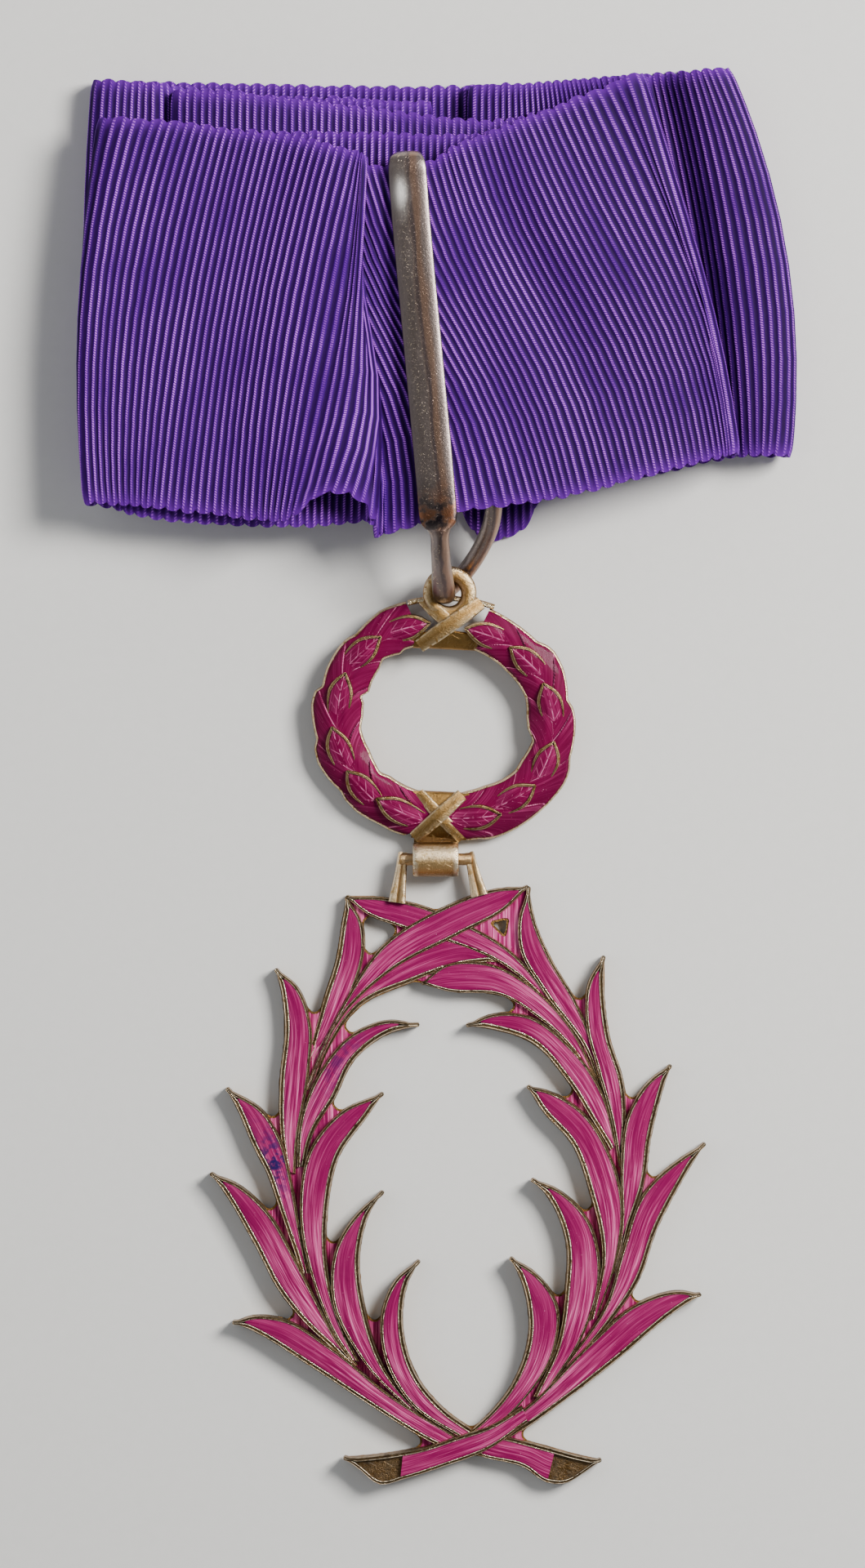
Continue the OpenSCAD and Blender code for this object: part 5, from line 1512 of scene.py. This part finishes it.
# %% The loop's finish
silver, tree, shader = finish_of("tarnished silver")
where = place(tree)
side = mark(tree, "side")
stretched = brush(tree, "Mapping", {"vector_type": "POINT"}, Vector=where, Scale=(1.0, 0.16, 1.0)).outputs[0]
sweep = times(tree, minus(tree, noise(tree, stretched, 500.0, 3), 0.5), 0.7)
across = plus(tree, side, sweep)
tint = mix(tree, noise(tree, stretched, 900.0, 4, 0.6), (0.16, 0.125, 0.115, 1), (0.36, 0.30, 0.28, 1))
copper = near(tree, across, 0.26, 0.10, 0.42)
tint = mix(tree, times(tree, copper, 0.7), tint, (0.36, 0.215, 0.145, 1))
cool = near(tree, across, 0.08, 0.03, 0.16)
tint = mix(tree, times(tree, cool, 0.6), tint, (0.075, 0.075, 0.10, 1))
# painted shade: the left side of the bar is painted nearly black
left_side = inverse(tree, band(tree, side, -0.97, -0.62))
tint = mix(tree, times(tree, left_side, 0.75), tint, (0.06, 0.045, 0.05, 1))
dark = effect(tree, tarnish, Cloud_Size=500.0, Fleck_Size=7000.0, Amount=0.30)["Mask"]
tint = mix(tree, times(tree, dark, 0.35), tint, (0.05, 0.04, 0.04, 1))
worn = effect(tree, scratches, Length=2200.0, Fineness=13000.0)["Mask"]
rubbed = near(tree, side, -0.36, 0.15, 0.55)
bright = times(tree, worn, plus(tree, 0.1, times(tree, rubbed, 0.8)))
tint = mix(tree, bright, tint, (0.9, 0.74, 0.48, 1))
# the foot end is painted amber and near-black in noise patches: partly its own colour, partly painted shade
# where it rounds down
foot_end = mark(tree, "foot_end")
foot_patches = band(tree, noise(tree, where, 900.0, 3), 0.40, 0.60)
tint = mix(tree, times(tree, foot_end, inverse(tree, foot_patches)), tint, (0.20, 0.085, 0.042, 1))
tint = mix(tree, times(tree, foot_end, foot_patches), tint, (0.02, 0.015, 0.02, 1))
# painted highlights: a pale spot near the head (`glint`) and a bright line on the right shoulder (`crest`)
tint = mix(tree, mark(tree, "glint"), tint, (1.0, 0.98, 0.95, 1))
tint = mix(tree, mark(tree, "crest"), tint, (1.0, 0.96, 0.90, 1))
rough = plus(tree, 0.33, times(tree, dark, 0.15))
rough = plus(tree, rough, times(tree, mark(tree, "glint"), 0.2))
pits = plus(tree, noise(tree, where, 3600.0, 4, 0.7), times(tree, worn, -0.5))
put(tree, shader, Base_Color=tint, Metallic=1.0, Roughness=rough, Normal=bump(tree, pits, 0.00004, 0.5))
piece("loop", loop, silver, "loop_metal", "ribbon_and_wreath", "ribbon_loop", sharp=50)

# %% [markdown]
# ## The clasp
#
# The plain clasp that joins the ribbon's ends lies hidden between two layers. Its CAD shape is
# right as it is, so it only gets a finish: brushed steel with fine scratches and some tarnish.

# %% The clasp's finish
steel, tree, shader = finish_of("clasp steel")
worn = effect(tree, scratches, Length=300.0, Fineness=12000.0)["Mask"]
dark = effect(tree, tarnish, Cloud_Size=300.0, Fleck_Size=4000.0, Amount=0.25)["Mask"]
tint = mix(tree, times(tree, dark, 0.5), paint(176, 176, 180), paint(96, 92, 88))
put(tree, shader, Base_Color=mix(tree, worn, tint, paint(226, 226, 230)), Metallic=1.0,
    Roughness=plus(tree, 0.3, times(tree, dark, 0.3)), Normal=bump(tree, worn, 0.00002, 0.4))
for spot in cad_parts["neck_clasp"].material_slots:
    spot.material = steel
print("clasp:", len(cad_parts["neck_clasp"].material_slots), "slot with", steel.name)

# %% [markdown]
# ## Camera, light and floor
#
# The badge lies flat and is seen from straight above. The camera is far enough away for almost
# no perspective. One soft lamp from the upper right gives the bright right-hand edges and the
# shadows that fall to the left; a large weak lamp and a pale room fill the rest. The room is darker
# straight above, as behind a real camera, so that smooth faces mirror a dark ceiling and their
# colours stay deep.

# %% Camera
FRAME_H = 0.1561            # height of the picture at the badge, in metres
CAMERA_Z, BADGE_Z = 0.9, 0.003
camera = bpy.data.cameras.new("camera")
camera.sensor_fit = "VERTICAL"
camera.sensor_height = 36
camera.lens = camera.sensor_height * (CAMERA_Z - BADGE_Z) / FRAME_H
camera.clip_start = 0.01
camera_object = bpy.data.objects.new("camera", camera)
camera_object.location = (-0.00012, -0.00049, CAMERA_Z)
bpy.context.scene.collection.objects.link(camera_object)
bpy.context.scene.camera = camera_object
print("lens", round(camera.lens, 1), "mm")

# %% Lamps
def lamp(name, place, size, watts, colour):
    light = bpy.data.lights.new(name, "AREA")
    light.size, light.energy, light.color = size, watts, colour
    obj = bpy.data.objects.new(name, light)
    obj.location = place
    from_place = -np.array(place) / np.linalg.norm(place)
    obj.rotation_euler = (math.acos(-from_place[2]), 0, math.atan2(place[0], -place[1]))
    bpy.context.scene.collection.objects.link(obj)


lamp("key", (0.34, 0.20, 0.36), 0.20, 5.6, (1.0, 0.97, 0.93))
lamp("fill", (-0.5, 0.1, 0.5), 0.7, 1.0, (0.95, 0.97, 1.0))
print("lamps:", [light.name for light in bpy.data.lights])

# %% The room
world = bpy.data.worlds.new("room")
world.use_nodes = True
tree = world.node_tree
height = brush(tree, "SeparateXYZ", Vector=brush(tree, "TexCoord").outputs["Generated"]).outputs[2]
walls = inverse(tree, band(tree, height, 0.45, 0.95))
tree.nodes["Background"].inputs["Color"].default_value = (0.96, 0.98, 1.0, 1)
light_of_room = plus(tree, 0.06, times(tree, walls, 0.44))
tree.links.new(light_of_room, tree.nodes["Background"].inputs["Strength"])
bpy.context.scene.world = world
print("world:", bpy.context.scene.world.name)

# %% The floor
floor_mesh = bpy.data.meshes.new("floor")
floor_mesh.from_pydata([(-1.5, -1.5, 0), (1.5, -1.5, 0), (1.5, 1.5, 0), (-1.5, 1.5, 0)], [], [(0, 1, 2, 3)])
floor = bpy.data.objects.new("floor", floor_mesh)
floor.location.z = -0.0001
bpy.context.scene.collection.objects.link(floor)
pale_paper, tree, shader = finish_of("pale paper")
tooth = noise(tree, place(tree), 900.0, 4)
put(tree, shader, Base_Color=mix(tree, tooth, paint(222, 222, 220), paint(228, 228, 226)), Roughness=0.9,
    Normal=bump(tree, tooth, 0.00005, 0.2))
floor_mesh.materials.append(pale_paper)
print("floor at", round(floor.location.z * 1000, 2), "mm")
